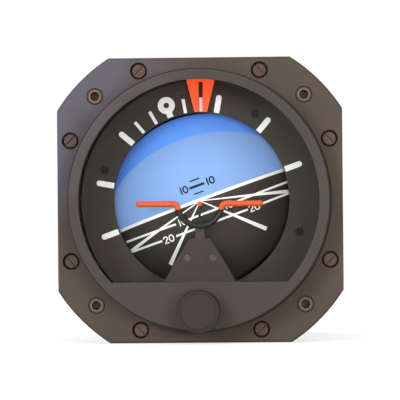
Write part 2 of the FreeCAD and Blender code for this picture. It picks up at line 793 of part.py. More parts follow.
def aircraft_symbol():
    left_end, left_in, left_mid, left_top, u_bottom, right_top, right_mid, right_in, right_end = symbol_path()
    edges = [Part.LineSegment(left_end, left_in).toShape(),
             Part.Arc(left_in, left_mid, left_top).toShape(),
             Part.Arc(left_top, u_bottom, right_top).toShape(),
             Part.Arc(right_top, right_mid, right_in).toShape(),
             Part.LineSegment(right_in, right_end).toShape()]
    profile = Part.Wire([Part.makeCircle(symbol_wire_radius, left_end, X_AXIS)])
    wire = Part.Wire(edges).makePipeShell([profile], True, True, 1)
    ends = [Part.makeSphere(symbol_wire_radius, end) for end in (left_end, right_end)]
    return [joined([wire] + ends)]


def symbol_dot():
    post_bottom = V(0, y_symbol, z_symbol - yoke_radius + symbol_wire_radius * 0.8)
    post = rod(dot_post_radius, post_bottom, V(0, y_symbol, z_symbol))
    dot = disc_y(dot_radius, y_symbol - dot_radius, y_symbol + dot_radius / 2, 0, z_symbol)
    return [joined([post, dot]).cut(aircraft_symbol()[0])]


def pedestal_plate():
    top_half = pedestal_top_width / 2
    base_half = pedestal_base_width / 2
    foot_half = pedestal_foot_width / 2
    z_foot_top = -glass_flat + face_gap
    points = [(-top_half, -pedestal_top), (top_half, -pedestal_top), (base_half, -bezel_chord),
              (foot_half, z_foot_top), (foot_half, -pedestal_foot_drop),
              (-foot_half, -pedestal_foot_drop), (-foot_half, z_foot_top), (-base_half, -bezel_chord)]
    body = plate([V(x, y_pedestal, z) for x, z in points]).extrude(V(0, pedestal_thickness, 0))
    cuts = []
    for x, z in pedestal_screw_places():
        cuts.append(disc_y(small_screw_radius + fit_gap, y_pedestal - 1, y_pedestal + 2, x, z))
        cuts.append(disc_y(small_head_radius + fit_gap, y_pedestal - 1, y_pedestal + small_head_height, x, z))
    for x, z in foot_screw_places():
        cuts.append(disc_y(small_screw_radius + fit_gap, y_pedestal - 1, y_pedestal + 2, x, z))
    return [body.cut(cuts)]


def pedestal_screw_places():
    return [(side * pedestal_screw_spread / 2, -pedestal_screw_drop) for side in (-1, 1)]


def foot_screw_places():
    return [(side * foot_screw_spread / 2, -foot_screw_drop) for side in (-1, 1)]


def pedestal_screws():
    """Two screws seen on the pedestal, into the guide, and two behind it, into the ring's bosses."""
    solids = []
    guide_depth = y_guide_back + guide_thickness - y_pedestal - small_head_height
    for x, z in pedestal_screw_places():
        screw = slotted_screw(small_head_radius, small_head_height, small_screw_radius, guide_depth, 35.0)
        screw.translate(V(x, y_pedestal, z))
        solids.append(screw)
    for x, z in foot_screw_places():
        screw = slotted_screw(small_head_radius, small_head_height, small_screw_radius,
                              y_pedestal - y_lip_rear - bezel_lip / 2, 35.0)
        screw.rotate(ORIGIN, Z_AXIS, 180.0)
        screw.translate(V(x, y_pedestal + pedestal_thickness + small_head_height, z))
        solids.append(screw)
    return solids


def slide_guide():
    """The channel behind the pedestal that keeps the slide bar upright."""
    half = guide_width / 2
    z_low = -pedestal_screw_drop - guide_height / 2 - guide_shift
    z_high = z_low + guide_height
    y_front = y_pedestal + pedestal_thickness
    body = block(-half, half, y_front, y_guide_back + guide_thickness, z_low, z_high)
    groove_half = bar_width / 2 + slide_gap
    groove = block(-groove_half, groove_half, y_front - 1, y_guide_back, z_low - 1, z_high + 1)
    holes = [disc_y(small_screw_radius, y_front - 1, y_guide_back + guide_thickness + 1, x, z)
             for x, z in pedestal_screw_places()]
    return [body.cut([groove] + holes)]


# ================================================================ case
def case_flange_outline(y0, y1):
    """The case's front flange: a round collar with a lug for each flange screw."""
    lugs = [disc_y(case_lug_radius, y0, y1, x, z) for x, z, slot_angle in flange_screw_places()]
    return joined([disc_y(case_flange_radius, y0, y1)] + lugs)


def case_gasket():
    body = case_flange_outline(flange_thickness, y_case_front)
    cuts = [disc_y(glass_seat_radius, 0, y_case_front + 1)]
    for x, z, slot_angle in flange_screw_places():
        cuts.append(disc_y(flange_screw_radius + fit_gap, 0, y_case_front + 1, x, z))
    return [body.cut(cuts)]


def rear_screw_places():
    places = []
    for index in range(rear_screw_count):
        angle = math.radians(rear_screw_first + FULL_TURN * index / rear_screw_count)
        places.append((rear_screw_circle * math.sin(angle), rear_screw_circle * math.cos(angle)))
    return places


def case_body():
    """The cast barrel, with the front bearing's seat and the rear cover's bosses inside."""
    front = case_flange_outline(y_case_front, y_case_front + case_flange_thickness)
    front = front.cut(disc_y(case_radius - case_wall / 2, 0, REACH))
    seat_back = y_race_rear + seat_shoulder
    barrel = turned_y([(case_inner, y_case_front), (case_radius, y_case_front),
                       (case_radius, y_case_rear - case_edge), (case_radius - case_edge, y_case_rear),
                       (case_inner, y_case_rear), (case_inner, seat_back + seat_slope),
                       (front_race_outer - race_thickness / 2, seat_back),
                       (front_race_outer - race_thickness / 2, y_race_rear),
                       (front_race_outer, y_race_rear), (front_race_outer, y_front_race),
                       (case_inner, y_front_race)])
    bosses = []
    for x, z in rear_screw_places():
        boss = disc_y(rear_boss_radius, y_case_rear - rear_boss_length, y_case_rear, x, z)
        bosses.append(boss.common(disc_y(case_inner + case_wall / 2, 0, REACH)))
    body = joined([barrel, front] + bosses)
    cuts = []
    screw_end = counterbore_depth + flange_screw_length
    for x, z, slot_angle in flange_screw_places():
        cuts.append(disc_y(flange_screw_radius, y_case_front - 1, screw_end + face_gap, x, z))
    for x, z in rear_screw_places():
        cuts.append(disc_y(rear_screw_radius, y_case_rear - rear_boss_length + 2, REACH, x, z))
    return [body.cut(cuts)]


# ================================================================ bearings
def race_groove(circle, y_middle, ball_radius):
    return Part.makeTorus(circle, ball_radius + ball_gap, V(0, y_middle, 0), Y_AXIS)


def bearing(outer, thickness, ball_radius, y0, width):
    """Outer race, inner race, ball circle and inner radius of a bearing about the Y axis."""
    circle = outer - thickness - ball_radius + thickness * 0.25
    inner = circle - (outer - circle)
    groove = race_groove(circle, y0 + width / 2, ball_radius)
    outer_race = ring_y(outer, outer - thickness, y0, y0 + width).cut(groove)
    inner_race = ring_y(inner + thickness, inner, y0, y0 + width).cut(groove)
    return outer_race, inner_race, circle, inner


def ball_ring(circle, radius, count, y_middle):
    balls = []
    for index in range(count):
        angle = 2 * math.pi * (index + 0.5) / count
        centre = V(circle * math.sin(angle), y_middle, circle * math.cos(angle))
        balls.append(rolled(Part.makeSphere(radius, centre)))
    return balls


def front_bearing():
    return bearing(front_race_outer, race_thickness, front_ball_radius, y_front_race, front_race_width)


def rear_bearing():
    return bearing(rear_race_outer, rear_race_thickness, rear_ball_radius, y_rear_race, rear_race_width)


# ================================================================ roll gimbal
def gimbal_profile_side():
    """Side view of the two arms: wide at the ring, bosses at both axes, waisted between."""
    waist_1 = (y_shell_axis + y_pitch_axis) / 2
    waist_2 = (y_pitch_axis + y_rear_wall) / 2 + arm_waist_shift
    points = [(y_arm_start, arm_half_height + arm_flare), (y_shell_axis, arm_half_height),
              (waist_1, arm_waist), (y_pitch_axis, arm_half_height - arm_boss_step),
              (waist_2, arm_waist), (y_rear_wall_back, arm_waist)]
    upper = [V(0, y, z) for y, z in points]
    lower = [V(0, y, -z) for y, z in reversed(points)]
    face = plate(upper + lower)
    face.translate(V(-REACH / 2, 0, 0))
    return face.extrude(V(REACH, 0, 0))


def upright_edges(shape, y):
    """The upright edges of a block that lie at one y."""
    return [edge for edge in shape.Edges
            if abs(edge.BoundBox.YMin - y) < 1e-6 and edge.BoundBox.ZLength > REACH]


def gimbal_frame():
    """The U of two arms and the rear wall, seen from above, cut to the side view."""
    outer = block(-arm_outer, arm_outer, y_arm_start, y_rear_wall_back, -REACH, REACH)
    corners = upright_edges(outer, y_rear_wall_back)
    outer = outer.makeFillet(gimbal_corner_radius + arm_outer - arm_inner, corners)
    inner = block(-arm_inner, arm_inner, y_arm_start - 1, y_rear_wall, -REACH, REACH)
    corners = upright_edges(inner, y_rear_wall)
    inner = inner.makeFillet(gimbal_corner_radius, corners)
    frame = outer.cut(inner).common(gimbal_profile_side())
    return frame.common(disc_y(case_inner - face_gap * 2, 0, REACH))


def roll_gimbal():
    outer_race, inner_race, circle, ring_outer = front_bearing()
    shoulder = ring_outer + race_thickness * race_shoulder_share
    y_back = y_gimbal_flange + gimbal_flange_thickness
    ring = turned_y([(gimbal_lip_inner, y_dial_rear), (ring_outer, y_dial_rear),
                     (ring_outer, y_race_rear), (shoulder, y_race_rear),
                     (shoulder, y_gimbal_flange), (gimbal_flange_radius, y_gimbal_flange),
                     (gimbal_flange_radius, y_back), (gimbal_ring_inner, y_back),
                     (gimbal_ring_inner, y_front_race), (gimbal_lip_inner, y_front_race - gimbal_lip_slope)])
    hub = disc_y(rear_hub_radius, y_rear_wall, y_rear_wall_back + rear_hub_length)
    bosses = [rod(arm_boss_radius, V(side * arm_inner, y_pitch_axis, 0), V(side * arm_outer, y_pitch_axis, 0))
              for side in (-1, 1)]
    body = joined([ring, gimbal_frame(), hub] + bosses)
    body = body.common(disc_y(case_inner - face_gap * 2, 0, REACH))
    cuts = [disc_y(trunnion_radius, y_rear_wall - 1, REACH)]
    cuts.append(rod(pitch_race_outer, V(-REACH, y_pitch_axis, 0), V(REACH, y_pitch_axis, 0)))
    cuts.append(rod(stub_shaft_radius, V(-REACH, y_shell_axis, 0), V(REACH, y_shell_axis, 0)))
    for side in (-1, 1):
        x = side * balance_weight_offset
        cuts.append(disc_y(rear_screw_radius, y_rear_wall - 1, REACH, x, 0))
    for x, z in dial_screw_places():
        cuts.append(disc_y(small_screw_radius, y_dial_rear - 1, y_front_race + 1, x, z))
    return [rolled(body.cut(cuts))]


def dial_screw_places():
    places = []
    for angle in (dial_screw_angle, 180.0 - dial_screw_angle, 180.0 + dial_screw_angle, -dial_screw_angle):
        turn = math.radians(angle)
        places.append((dial_screw_circle * math.sin(turn), dial_screw_circle * math.cos(turn)))
    return places


def dial_ring():
    body = ring_y(dial_radius, dial_window, y_dial_front, y_dial_rear)
    cuts = [disc_y(small_screw_radius + fit_gap, y_dial_front - 1, y_dial_rear + 1, x, z)
            for x, z in dial_screw_places()]
    return [rolled(body.cut(cuts))]


def dial_screws():
    solids = []
    for x, z in dial_screw_places():
        screw = slotted_screw(dial_head_radius, dial_head_height, small_screw_radius,
                              dial_thickness + gimbal_lip_thickness * 0.8, dial_slot_angle)
        screw.translate(V(x, y_dial_front - dial_head_height, z))
        solids.append(rolled(screw))
    return solids


def rear_trunnion():
    collar_start = y_rear_wall_back + rear_hub_length
    tube = disc_y(trunnion_radius, y_rear_wall, collar_start)
    collar = disc_y(trunnion_collar, collar_start, y_collar_rear)
    journal = disc_y(rear_bearing()[3], y_collar_rear, y_collar_rear + trunnion_length - 2.0)
    return [rolled(joined([tube, collar, journal]).cut(disc_y(trunnion_bore, 0, REACH)))]


def roll_balance_weights():
    solids = []
    for side, thickness in ((-1, left_weight_thickness), (1, right_weight_thickness)):
        x = side * balance_weight_offset
        weight = disc_y(balance_weight_radius, y_rear_wall_back, y_rear_wall_back + thickness, x, 0)
        stud = disc_y(rear_screw_radius, y_rear_wall, y_rear_wall_back, x, 0)
        solids.append(rolled(joined([weight, stud])))
    return solids


# ================================================================ shell, background and their gears
def shell_profile(radius, inner, cheek, hub):
    """Section of a shell of revolution about the lateral axis: sphere, flat cheeks and hub edge."""
    cheek_inner = cheek - (radius - inner)
    rho_outer = math.sqrt(radius ** 2 - cheek ** 2)
    rho_inner = math.sqrt(inner ** 2 - cheek_inner ** 2)
    y = y_shell_axis
    outer = Part.Arc(V(-cheek, y - rho_outer, 0), V(0, y - radius, 0), V(cheek, y - rho_outer, 0)).toShape()
    inner_arc = Part.Arc(V(cheek_inner, y - rho_inner, 0), V(0, y - inner, 0),
                         V(-cheek_inner, y - rho_inner, 0)).toShape()
    corner = hub * 0.9
    right = [V(cheek, y - rho_outer, 0), V(cheek, y - corner, 0), V(cheek_inner, y - corner, 0),
             V(cheek_inner, y - rho_inner, 0)]
    left = [V(-cheek_inner, y - rho_inner, 0), V(-cheek_inner, y - corner, 0), V(-cheek, y - corner, 0),
            V(-cheek, y - rho_outer, 0)]
    edges = [outer] + [Part.LineSegment(a, b).toShape() for a, b in zip(right, right[1:])]
    edges += [inner_arc] + [Part.LineSegment(a, b).toShape() for a, b in zip(left, left[1:])]
    return Part.Face(Part.Wire(edges))


def lune(radius, inner, cheek, hub, below, over):
    """A band of the shell between two elevations, with a full round hub on each cheek."""
    centre = V(0, y_shell_axis, 0)
    face = shell_profile(radius, inner, cheek, hub)
    face.rotate(centre, X_AXIS, below)
    band = face.revolve(centre, X_AXIS.negative(), below + over)
    thickness = radius - inner
    hubs = []
    for side in (-1, 1):
        start = V(side * (cheek - thickness), y_shell_axis, 0)
        hubs.append(rod(hub, start, V(side * cheek, y_shell_axis, 0)))
    return joined([band] + hubs)


def across(radius):
    """A bar along the lateral axis of the shell, right through."""
    return rod(radius, V(-REACH, y_shell_axis, 0), V(REACH, y_shell_axis, 0))


def horizon_shell():
    body = lune(shell_radius, shell_inner, shell_cheek, shell_hub_radius, shell_bottom, shell_top)
    return [rolled(body.cut(across(shell_bush_radius)))]


def background_shell():
    body = lune(background_radius, background_inner, background_cheek, background_hub_radius,
                background_reach, background_reach)
    return [rolled(body.cut(across(stub_shaft_radius)))]


def shell_bushes():
    solids = []
    for side in (-1, 1):
        start = V(side * (shell_cheek - shell_thickness), y_shell_axis, 0)
        bush = rod(shell_bush_radius, start, V(side * x_bush_end, y_shell_axis, 0))
        solids.append(rolled(bush.cut(across(stub_shaft_radius + running_gap))))
    return solids


def shell_stub_shafts():
    solids = []
    for side in (-1, 1):
        start = V(side * (background_cheek - shell_thickness), y_shell_axis, 0)
        solids.append(rolled(rod(stub_shaft_radius, start, V(side * arm_outer, y_shell_axis, 0))))
    return solids


def sector_gear(teeth, reach, offset, facing, y_axis, hub, bore):
    """A toothed sector in the plane beside the right cheek; facing is +1 towards the rear."""
    flank = tooth_flank(teeth, gear_module, gear_module, tooth_root_share * gear_module, 3)
    last = int(teeth * reach / FULL_TURN)
    first = -last if offset == 0.0 else -last - 1
    pitch_radius = gear_module * teeth / 2
    rim_radius = pitch_radius - tooth_root_share * gear_module - gear_rim
    edge = toothed_edge(flank, teeth, first, last, offset)
    end = edge[-1][1]

    def at(radius, angle):
        return V(shell_cheek, y_axis + facing * radius * math.cos(angle), radius * math.sin(angle))

    outline = Part.makePolygon([at(radius, angle) for radius, angle in edge])
    inner = Part.Arc(at(rim_radius, end), at(rim_radius, 0), at(rim_radius, -end)).toShape()
    sides = [Part.LineSegment(at(edge[-1][0], end), at(rim_radius, end)).toShape(),
             Part.LineSegment(at(rim_radius, -end), at(edge[0][0], -end)).toShape()]
    rim = Part.Face(Part.Wire(outline.Edges + [sides[0], inner, sides[1]])).extrude(V(gear_width, 0, 0))
    pieces = [rim, rod(hub, V(shell_cheek, y_axis, 0), V(x_gear_rear, y_axis, 0))]
    for share in (-0.86, 0.0, 0.86):
        angle = share * end
        spoke_half = hub * gear_spoke_share
        spoke = block(shell_cheek, x_gear_rear, 0, rim_radius + gear_rim / 2, -spoke_half, spoke_half)
        if facing < 0:
            spoke = spoke.mirror(ORIGIN, Y_AXIS)
        spoke.rotate(ORIGIN, X_AXIS, math.degrees(angle) * facing)
        spoke.translate(V(0, y_axis, 0))
        pieces.append(spoke)
    return joined(pieces).cut(rod(bore, V(0, y_axis, 0), V(REACH, y_axis, 0)))


def shell_sector_gear():
    return [rolled(sector_gear(shell_gear_teeth, shell_gear_reach, 0.5, 1, y_shell_axis,
                               shell_hub_radius, shell_bush_radius))]


def shell_counterweight():
    """A plain heavy sector on the left cheek: with the gear it balances the shell about its axis."""
    tip = gear_module * shell_gear_teeth / 2
    x0 = -shell_cheek - counterweight_width
    centre = V(x0, y_shell_axis, 0)
    rim = Part.makeCylinder(tip, counterweight_width, centre, X_AXIS, 2 * shell_gear_reach)
    rim.rotate(centre, X_AXIS, -90.0 - shell_gear_reach)
    rim = rim.cut(rod(tip - counterweight_rim, centre, V(0, y_shell_axis, 0)))
    hub = rod(shell_hub_radius, centre, V(-shell_cheek, y_shell_axis, 0))
    spoke_half = shell_hub_radius * weight_spoke_share
    spoke = block(x0, -shell_cheek, y_shell_axis, y_shell_axis + tip - counterweight_rim / 2,
                  -spoke_half, spoke_half)
    return [rolled(joined([rim, hub, spoke]).cut(across(shell_bush_radius)))]


def pitch_sector_gear():
    return [rolled(sector_gear(pitch_gear_teeth, pitch_gear_reach, 0.0, -1, y_pitch_axis,
                               side_boss_radius, pitch_shaft_radius))]


# ================================================================ rotor housing
def pitch_line(radius):
    """A bar along the pitch axis, right through."""
    return rod(radius, V(-REACH, y_pitch_axis, 0), V(REACH, y_pitch_axis, 0))


def housing_screw_places():
    places = []
    circle = housing_radius + housing_head_radius + housing_head_gap
    for index in range(housing_screw_count):
        angle = math.radians(FULL_TURN * index / housing_screw_count)
        places.append((circle * math.cos(angle), y_pitch_axis + circle * math.sin(angle)))
    return places


def housing_lugs(z0, z1):
    return [rod(housing_lug_radius, V(x, y, z0), V(x, y, z1)) for x, y in housing_screw_places()]


def rotor_housing():
    """The lower cup, with the two side bosses that the trunnions are pressed into."""
    inner = housing_radius - housing_wall
    cup = turned_z([(0, -housing_floor), (housing_radius - housing_foot_edge, -housing_floor),
                    (housing_radius, -housing_floor + housing_foot_edge), (housing_radius, housing_split),
                    (inner, housing_split), (inner, -housing_floor + housing_wall),
                    (0, -housing_floor + housing_wall)])
    boss_start = housing_radius - housing_wall / 2
    bosses = [rod(side_boss_radius, V(side * (boss_start - 1.0), y_pitch_axis, 0),
                  V(side * side_boss_reach, y_pitch_axis, 0)) for side in (-1, 1)]
    bosses = [boss.cut(turned_z([(0, -housing_floor), (inner, -housing_floor), (inner, housing_split),
                                 (0, housing_split)])) for boss in bosses]
    seat = rod(rotor_boss_radius, V(0, y_pitch_axis, -housing_floor),
               V(0, y_pitch_axis, -housing_floor + housing_wall + rotor_boss_height))
    body = joined([cup, seat] + bosses + housing_lugs(housing_split - housing_flange, housing_split))
    cuts = [pitch_line(pitch_shaft_radius)]
    seat_floor = -housing_floor + housing_wall + rotor_boss_height - rotor_race_height
    cuts.append(rod(rotor_race_radius, V(0, y_pitch_axis, seat_floor), V(0, y_pitch_axis, 0)))
    for x, y in housing_screw_places():
        start = V(x, y, housing_split - housing_flange)
        cuts.append(rod(housing_screw_radius, start, V(x, y, REACH)))
    port = vane_port_width / 2
    for side in (-1, 1):
        x = side * port * jet_port_spread
        y = y_pitch_axis + side * jet_port_offset
        cuts.append(rod(port / 2, V(x, y, -REACH), V(x, y, 0)))
    return [rolled(body.cut(cuts))]


def rotor_housing_cover():
    inner = housing_radius - housing_wall
    edge = housing_edge
    cap = turned_z([(0, housing_top), (housing_radius - edge, housing_top),
                    (housing_radius, housing_top - edge),
                    (housing_radius, housing_split), (inner, housing_split),
                    (inner, housing_top - housing_wall), (0, housing_top - housing_wall)])
    seat = rod(rotor_boss_radius, V(0, y_pitch_axis, housing_top - housing_wall - rotor_boss_height),
               V(0, y_pitch_axis, housing_top))
    body = joined([cap, seat] + housing_lugs(housing_split, housing_split + housing_flange))
    seat_roof = housing_top - housing_wall - rotor_boss_height + rotor_race_height
    cuts = [rod(rotor_race_radius, V(0, y_pitch_axis, 0), V(0, y_pitch_axis, seat_roof))]
    for x, y in housing_screw_places():
        cuts.append(rod(housing_screw_radius + fit_gap, V(x, y, 0), V(x, y, REACH)))
    return [rolled(body.cut(cuts))]


def housing_screws():
    solids = []
    z_head = housing_split + housing_flange
    for x, y in housing_screw_places():
        head = rod(housing_head_radius, V(x, y, z_head), V(x, y, z_head + housing_head_height))
        shank = rod(housing_screw_radius, V(x, y, housing_split - housing_flange), V(x, y, z_head))
        slot_half = housing_head_radius * screw_slot_share / 2
        slot = block(x - 2, x + 2, y - slot_half, y + slot_half, z_head + housing_head_height * 0.5, REACH)
        solids.append(rolled(joined([head, shank]).cut(slot)))
    return solids


def pitch_trunnions():
    """Hollow stub shafts: the air reaches the rotor's jets through them."""
    solids = []
    inner = housing_radius - housing_wall + pitch_shaft_seat
    for side in (-1, 1):
        shaft = rod(pitch_shaft_radius, V(side * inner, y_pitch_axis, 0),
                    V(side * arm_outer, y_pitch_axis, 0))
        solids.append(rolled(shaft.cut(pitch_line(pitch_shaft_bore))))
    return solids


def pitch_race(outer, inner):
    """A pair of shielded bearing rings, one in each arm."""
    solids = []
    for side in (-1, 1):
        start = V(side * arm_inner, y_pitch_axis, 0)
        ring = rod(outer, start, V(side * arm_outer, y_pitch_axis, 0))
        solids.append(rolled(ring.cut(pitch_line(inner))))
    return solids


def pitch_bearing_outer_races():
    return pitch_race(pitch_race_outer, pitch_race_split + fit_gap / 2)


def pitch_bearing_inner_races():
    return pitch_race(pitch_race_split - fit_gap / 2, pitch_shaft_radius)


def gyro_rotor():
    """A heavy rim on a thin web, with air buckets milled round its middle."""
    body = turned_z([(rotor_shaft_radius, -rotor_hub_half), (rotor_hub_radius, -rotor_hub_half),
                     (rotor_hub_radius + rotor_edge, -rotor_web_half), (rotor_rim_inner, -rotor_web_half),
                     (rotor_rim_inner + rotor_rim_slope, -rotor_half_height),
                     (rotor_radius - rotor_edge, -rotor_half_height),
                     (rotor_radius, -rotor_half_height + rotor_edge),
                     (rotor_radius, rotor_half_height - rotor_edge),
                     (rotor_radius - rotor_edge, rotor_half_height),
                     (rotor_rim_inner + rotor_rim_slope, rotor_half_height),
                     (rotor_rim_inner, rotor_web_half), (rotor_hub_radius + rotor_edge, rotor_web_half),
                     (rotor_hub_radius, rotor_hub_half), (rotor_shaft_radius, rotor_hub_half)])
    cutters = []
    for index in range(bucket_count):
        angle = 2 * math.pi * index / bucket_count
        circle = rotor_radius + bucket_radius * bucket_stand_share
        x = circle * math.cos(angle)
        y = y_pitch_axis + circle * math.sin(angle)
        cutters.append(rod(bucket_radius, V(x, y, -bucket_half_height), V(x, y, bucket_half_height)))
    return [rolled(body.cut(cutters))]


def rotor_race_end():
    return housing_floor - housing_wall - rotor_boss_height + rotor_race_height


def rotor_shaft():
    half = rotor_race_end() - face_gap
    shaft = rod(rotor_shaft_radius, V(0, y_pitch_axis, -half), V(0, y_pitch_axis, half))
    return [rolled(shaft)]


def rotor_bearing_races():
    solids = []
    for side in (-1, 1):
        end = rotor_race_end()
        outer_end = V(0, y_pitch_axis, side * end)
        race = rod(rotor_race_radius, V(0, y_pitch_axis, side * (end - rotor_race_height)), outer_end)
        bore = rod(rotor_shaft_radius + running_gap, V(0, y_pitch_axis, 0), V(0, y_pitch_axis, side * REACH))
        solids.append(rolled(race.cut(bore)))
    return solids


def balance_nut():
    """Nut on a stud over the housing: it balances the vane block below."""
    base = V(0, y_pitch_axis, housing_top)
    stud = rod(balance_stud_radius, base, V(0, y_pitch_axis, housing_top + balance_nut_height * 2))
    nut_start = V(0, y_pitch_axis, housing_top + balance_nut_height)
    nut = rod(balance_nut_radius, nut_start, V(0, y_pitch_axis, housing_top + balance_nut_height * 2))
    return [rolled(joined([stud, nut]))]


# ================================================================ pendulous vanes
def vane_block():
    half = vane_block_width / 2
    wall = vane_block_wall
    y = y_pitch_axis
    body = block(-half, half, y - half, y + half, -vane_block_drop, -housing_floor)
    hollow = block(wall - half, half - wall, y - half + wall, y + half - wall,
                   -vane_block_drop + wall, -housing_floor + 1)
    port_half = vane_port_width / 2
    z0 = -vane_port_drop - vane_port_height / 2
    z1 = z0 + vane_port_height
    cuts = [hollow, block(-REACH, REACH, y - port_half, y + port_half, z0, z1),
            block(-port_half, port_half, y - half - 1, y + half + 1, z0, z1)]
    cuts.append(rod(vane_shaft_radius + running_gap, V(-REACH, y, -vane_cross_drop),
                    V(REACH, y, -vane_cross_drop)))
    cuts.append(rod(vane_shaft_radius + running_gap, V(0, y - half - 1, -vane_fore_drop),
                    V(0, y + half + 1, -vane_fore_drop)))
    return [rolled(body.cut(cuts))]


def vane_pair(shaft_drop):
    """A shaft along X through the block, with a vane on each end; each covers half of its port."""
    y = y_pitch_axis
    start = vane_block_width / 2 + face_gap
    pieces = [rod(vane_shaft_radius, V(-vane_shaft_end, y, -shaft_drop), V(vane_shaft_end, y, -shaft_drop))]
    for side in (-1, 1):
        x0 = min(side * start, side * (start + vane_thickness))
        y0 = y if side > 0 else y - vane_width
        pieces.append(block(x0, x0 + vane_thickness, y0, y0 + vane_width, -vane_tip_drop, -shaft_drop))
        ear = V(x0, y, -shaft_drop)
        pieces.append(rod(vane_shaft_radius * 2, ear, V(x0 + vane_thickness, y, -shaft_drop)))
    return joined(pieces)


def side_vanes():
    return [rolled(vane_pair(vane_cross_drop))]


def fore_vanes():
    """The pair on the fore-and-aft shaft hangs plumb, whatever the roll angle at rest."""
    pair = vane_pair(vane_fore_drop)
    pair.rotate(V(0, y_pitch_axis, 0), Z_AXIS, 90.0)
    laid = rolled(pair)
    pivot = rolled(Part.Vertex(V(0, y_pitch_axis, -vane_fore_drop))).Point
    return [around_y(laid, -rest_roll, pivot)]


# ================================================================ rear cover and air fittings
def cover_gasket():
    body = ring_y(case_radius - case_edge, case_inner, y_case_rear, y_cover_front)
    pads = [disc_y(rear_boss_radius, y_case_rear, y_cover_front, x, z) for x, z in rear_screw_places()]
    holes = [disc_y(rear_screw_radius + fit_gap, y_case_rear - 1, y_cover_front + 1, x, z)
             for x, z in rear_screw_places()]
    whole = joined([body] + pads).common(disc_y(case_radius - case_edge, 0, REACH))
    return [whole.cut(holes)]


def rear_cover():
    """Cast cover: bearing hub inside, filter cup and port boss outside."""
    cup_inner = filter_cup_radius - filter_cup_wall
    bore = rear_race_outer
    seat_end = y_rear_race + rear_race_width
    shell = turned_y([(bearing_hub_bore, seat_end), (bore, seat_end), (bore, y_cover_hub),
                      (bearing_hub_radius, y_cover_hub), (bearing_hub_radius + hub_slope, y_cover_front),
                      (cover_spigot_outer - cover_spigot_wall, y_cover_front),
                      (cover_spigot_outer - cover_spigot_wall, y_cover_front - cover_spigot_depth),
                      (cover_spigot_outer, y_cover_front - cover_spigot_depth),
                      (cover_spigot_outer, y_cover_front), (case_radius, y_cover_front),
                      (case_radius, y_cover_rear - case_edge), (case_radius - case_edge, y_cover_rear),
                      (filter_cup_radius, y_cover_rear), (filter_cup_radius, y_cup_rear),
                      (cup_inner, y_cup_rear), (cup_inner, y_cover_rear), (bearing_hub_bore, y_cover_rear)])
    floor = disc_y(bearing_hub_bore + hub_floor_overlap, y_cover_front, y_cover_rear)
    post = disc_y(filter_post_radius, y_cover_rear, y_cup_rear)
    port = disc_y(port_boss_radius, y_cover_front, y_cover_rear + port_boss_height, port_offset, port_offset)
    rim = disc_y(case_radius, 0, REACH)
    cup_space = disc_y(cup_inner, y_cover_rear, REACH)
    ribs = []
    for index in range(rear_screw_count):
        rib = block(-cover_rib_half, cover_rib_half, y_cover_front - cover_spigot_depth, y_cover_front,
                    bearing_hub_radius - cover_spigot_wall / 4, cover_spigot_outer - cover_spigot_wall / 4)
        ribs.append(around_y(rib, rear_screw_first + FULL_TURN * index / rear_screw_count))
    body = joined([shell, floor, port.common(rim).cut(cup_space), post] + ribs)
    cuts = [disc_y(port_stem_radius, 0, REACH, port_offset, port_offset)]
    for x, z in rear_screw_places():
        cuts.append(disc_y(rear_screw_radius + fit_gap, 0, REACH, x, z))
    for index in range(filter_air_count):
        hole = disc_y(filter_air_hole, 0, REACH, filter_air_circle, 0)
        cuts.append(around_y(hole, FULL_TURN * index / filter_air_count))
    cuts.append(disc_y(cap_screw_radius, y_cup_rear - cap_screw_length, REACH))
    return [body.cut(cuts)]


def rear_cover_screws():
    solids = []
    for x, z in rear_screw_places():
        screw = slotted_screw(rear_head_radius, rear_head_height, rear_screw_radius,
                              cover_thickness + rear_screw_length, rear_slot_angle)
        screw.rotate(ORIGIN, Z_AXIS, 180.0)
        screw.translate(V(x, y_cover_rear + rear_head_height, z))
        solids.append(screw)
    return solids


def vacuum_port():
    """Hexagonal pipe fitting with a female 1/4 in. taper thread."""
    y_base = y_cover_rear + port_boss_height
    corner = port_hex_flats / math.sqrt(3)
    points = []
    for index in range(6):
        angle = math.radians(60.0 * index + port_hex_turn)
        points.append(V(corner * math.cos(angle), y_base, corner * math.sin(angle)))
    hexagon = plate(points).extrude(V(0, port_height, 0))
    cone = Part.makeCone(corner + port_height, corner - port_hex_edge, port_height + port_hex_edge,
                         V(0, y_base, 0), Y_AXIS)
    hexagon = hexagon.common(cone)
    stem = disc_y(port_stem_radius, y_cover_front, y_base)
    body = joined([hexagon, stem])
    y_end = y_base + port_height
    body = body.cut([disc_y(port_bore_radius, y_end - port_bore_length, REACH),
                     disc_y(port_air_radius, 0, REACH)])
    body.translate(V(port_offset, 0, port_offset))
    return [body]


def filter_element():
    outer = filter_cup_radius - filter_cup_wall - face_gap
    return [ring_y(outer, filter_inner, y_cover_rear + face_gap, y_cup_rear - face_gap)]


def filter_cap():
    """Perforated cap that holds the filter element in its cup."""
    y_end = y_cup_rear + filter_cap_thickness
    body = disc_y(filter_cup_radius, y_cup_rear, y_end)
    body = body.makeFillet(cap_edge, [body.Edges[i] for i in top_edges(body, y_end)])
    cuts = [disc_y(cap_screw_radius + fit_gap, 0, REACH)]
    for ring_index, count in enumerate(cap_hole_counts):
        circle = filter_inner + (ring_index + 0.5) * cap_hole_pitch
        for index in range(count):
            hole = disc_y(cap_hole_radius, 0, REACH, circle, 0)
            cuts.append(around_y(hole, FULL_TURN * index / count))
    return [body.cut(cuts)]


def filter_cap_screw():
    screw = slotted_screw(cap_head_radius, cap_head_height, cap_screw_radius,
                          cap_screw_length - cap_screw_end_gap, 0.0)
    screw.rotate(ORIGIN, Z_AXIS, 180.0)
    screw.translate(V(0, y_cup_rear + filter_cap_thickness + cap_head_height, 0))
    return [screw]


# ================================================================ bearings as nodes
def front_bearing_outer_race():
    return [front_bearing()[0]]


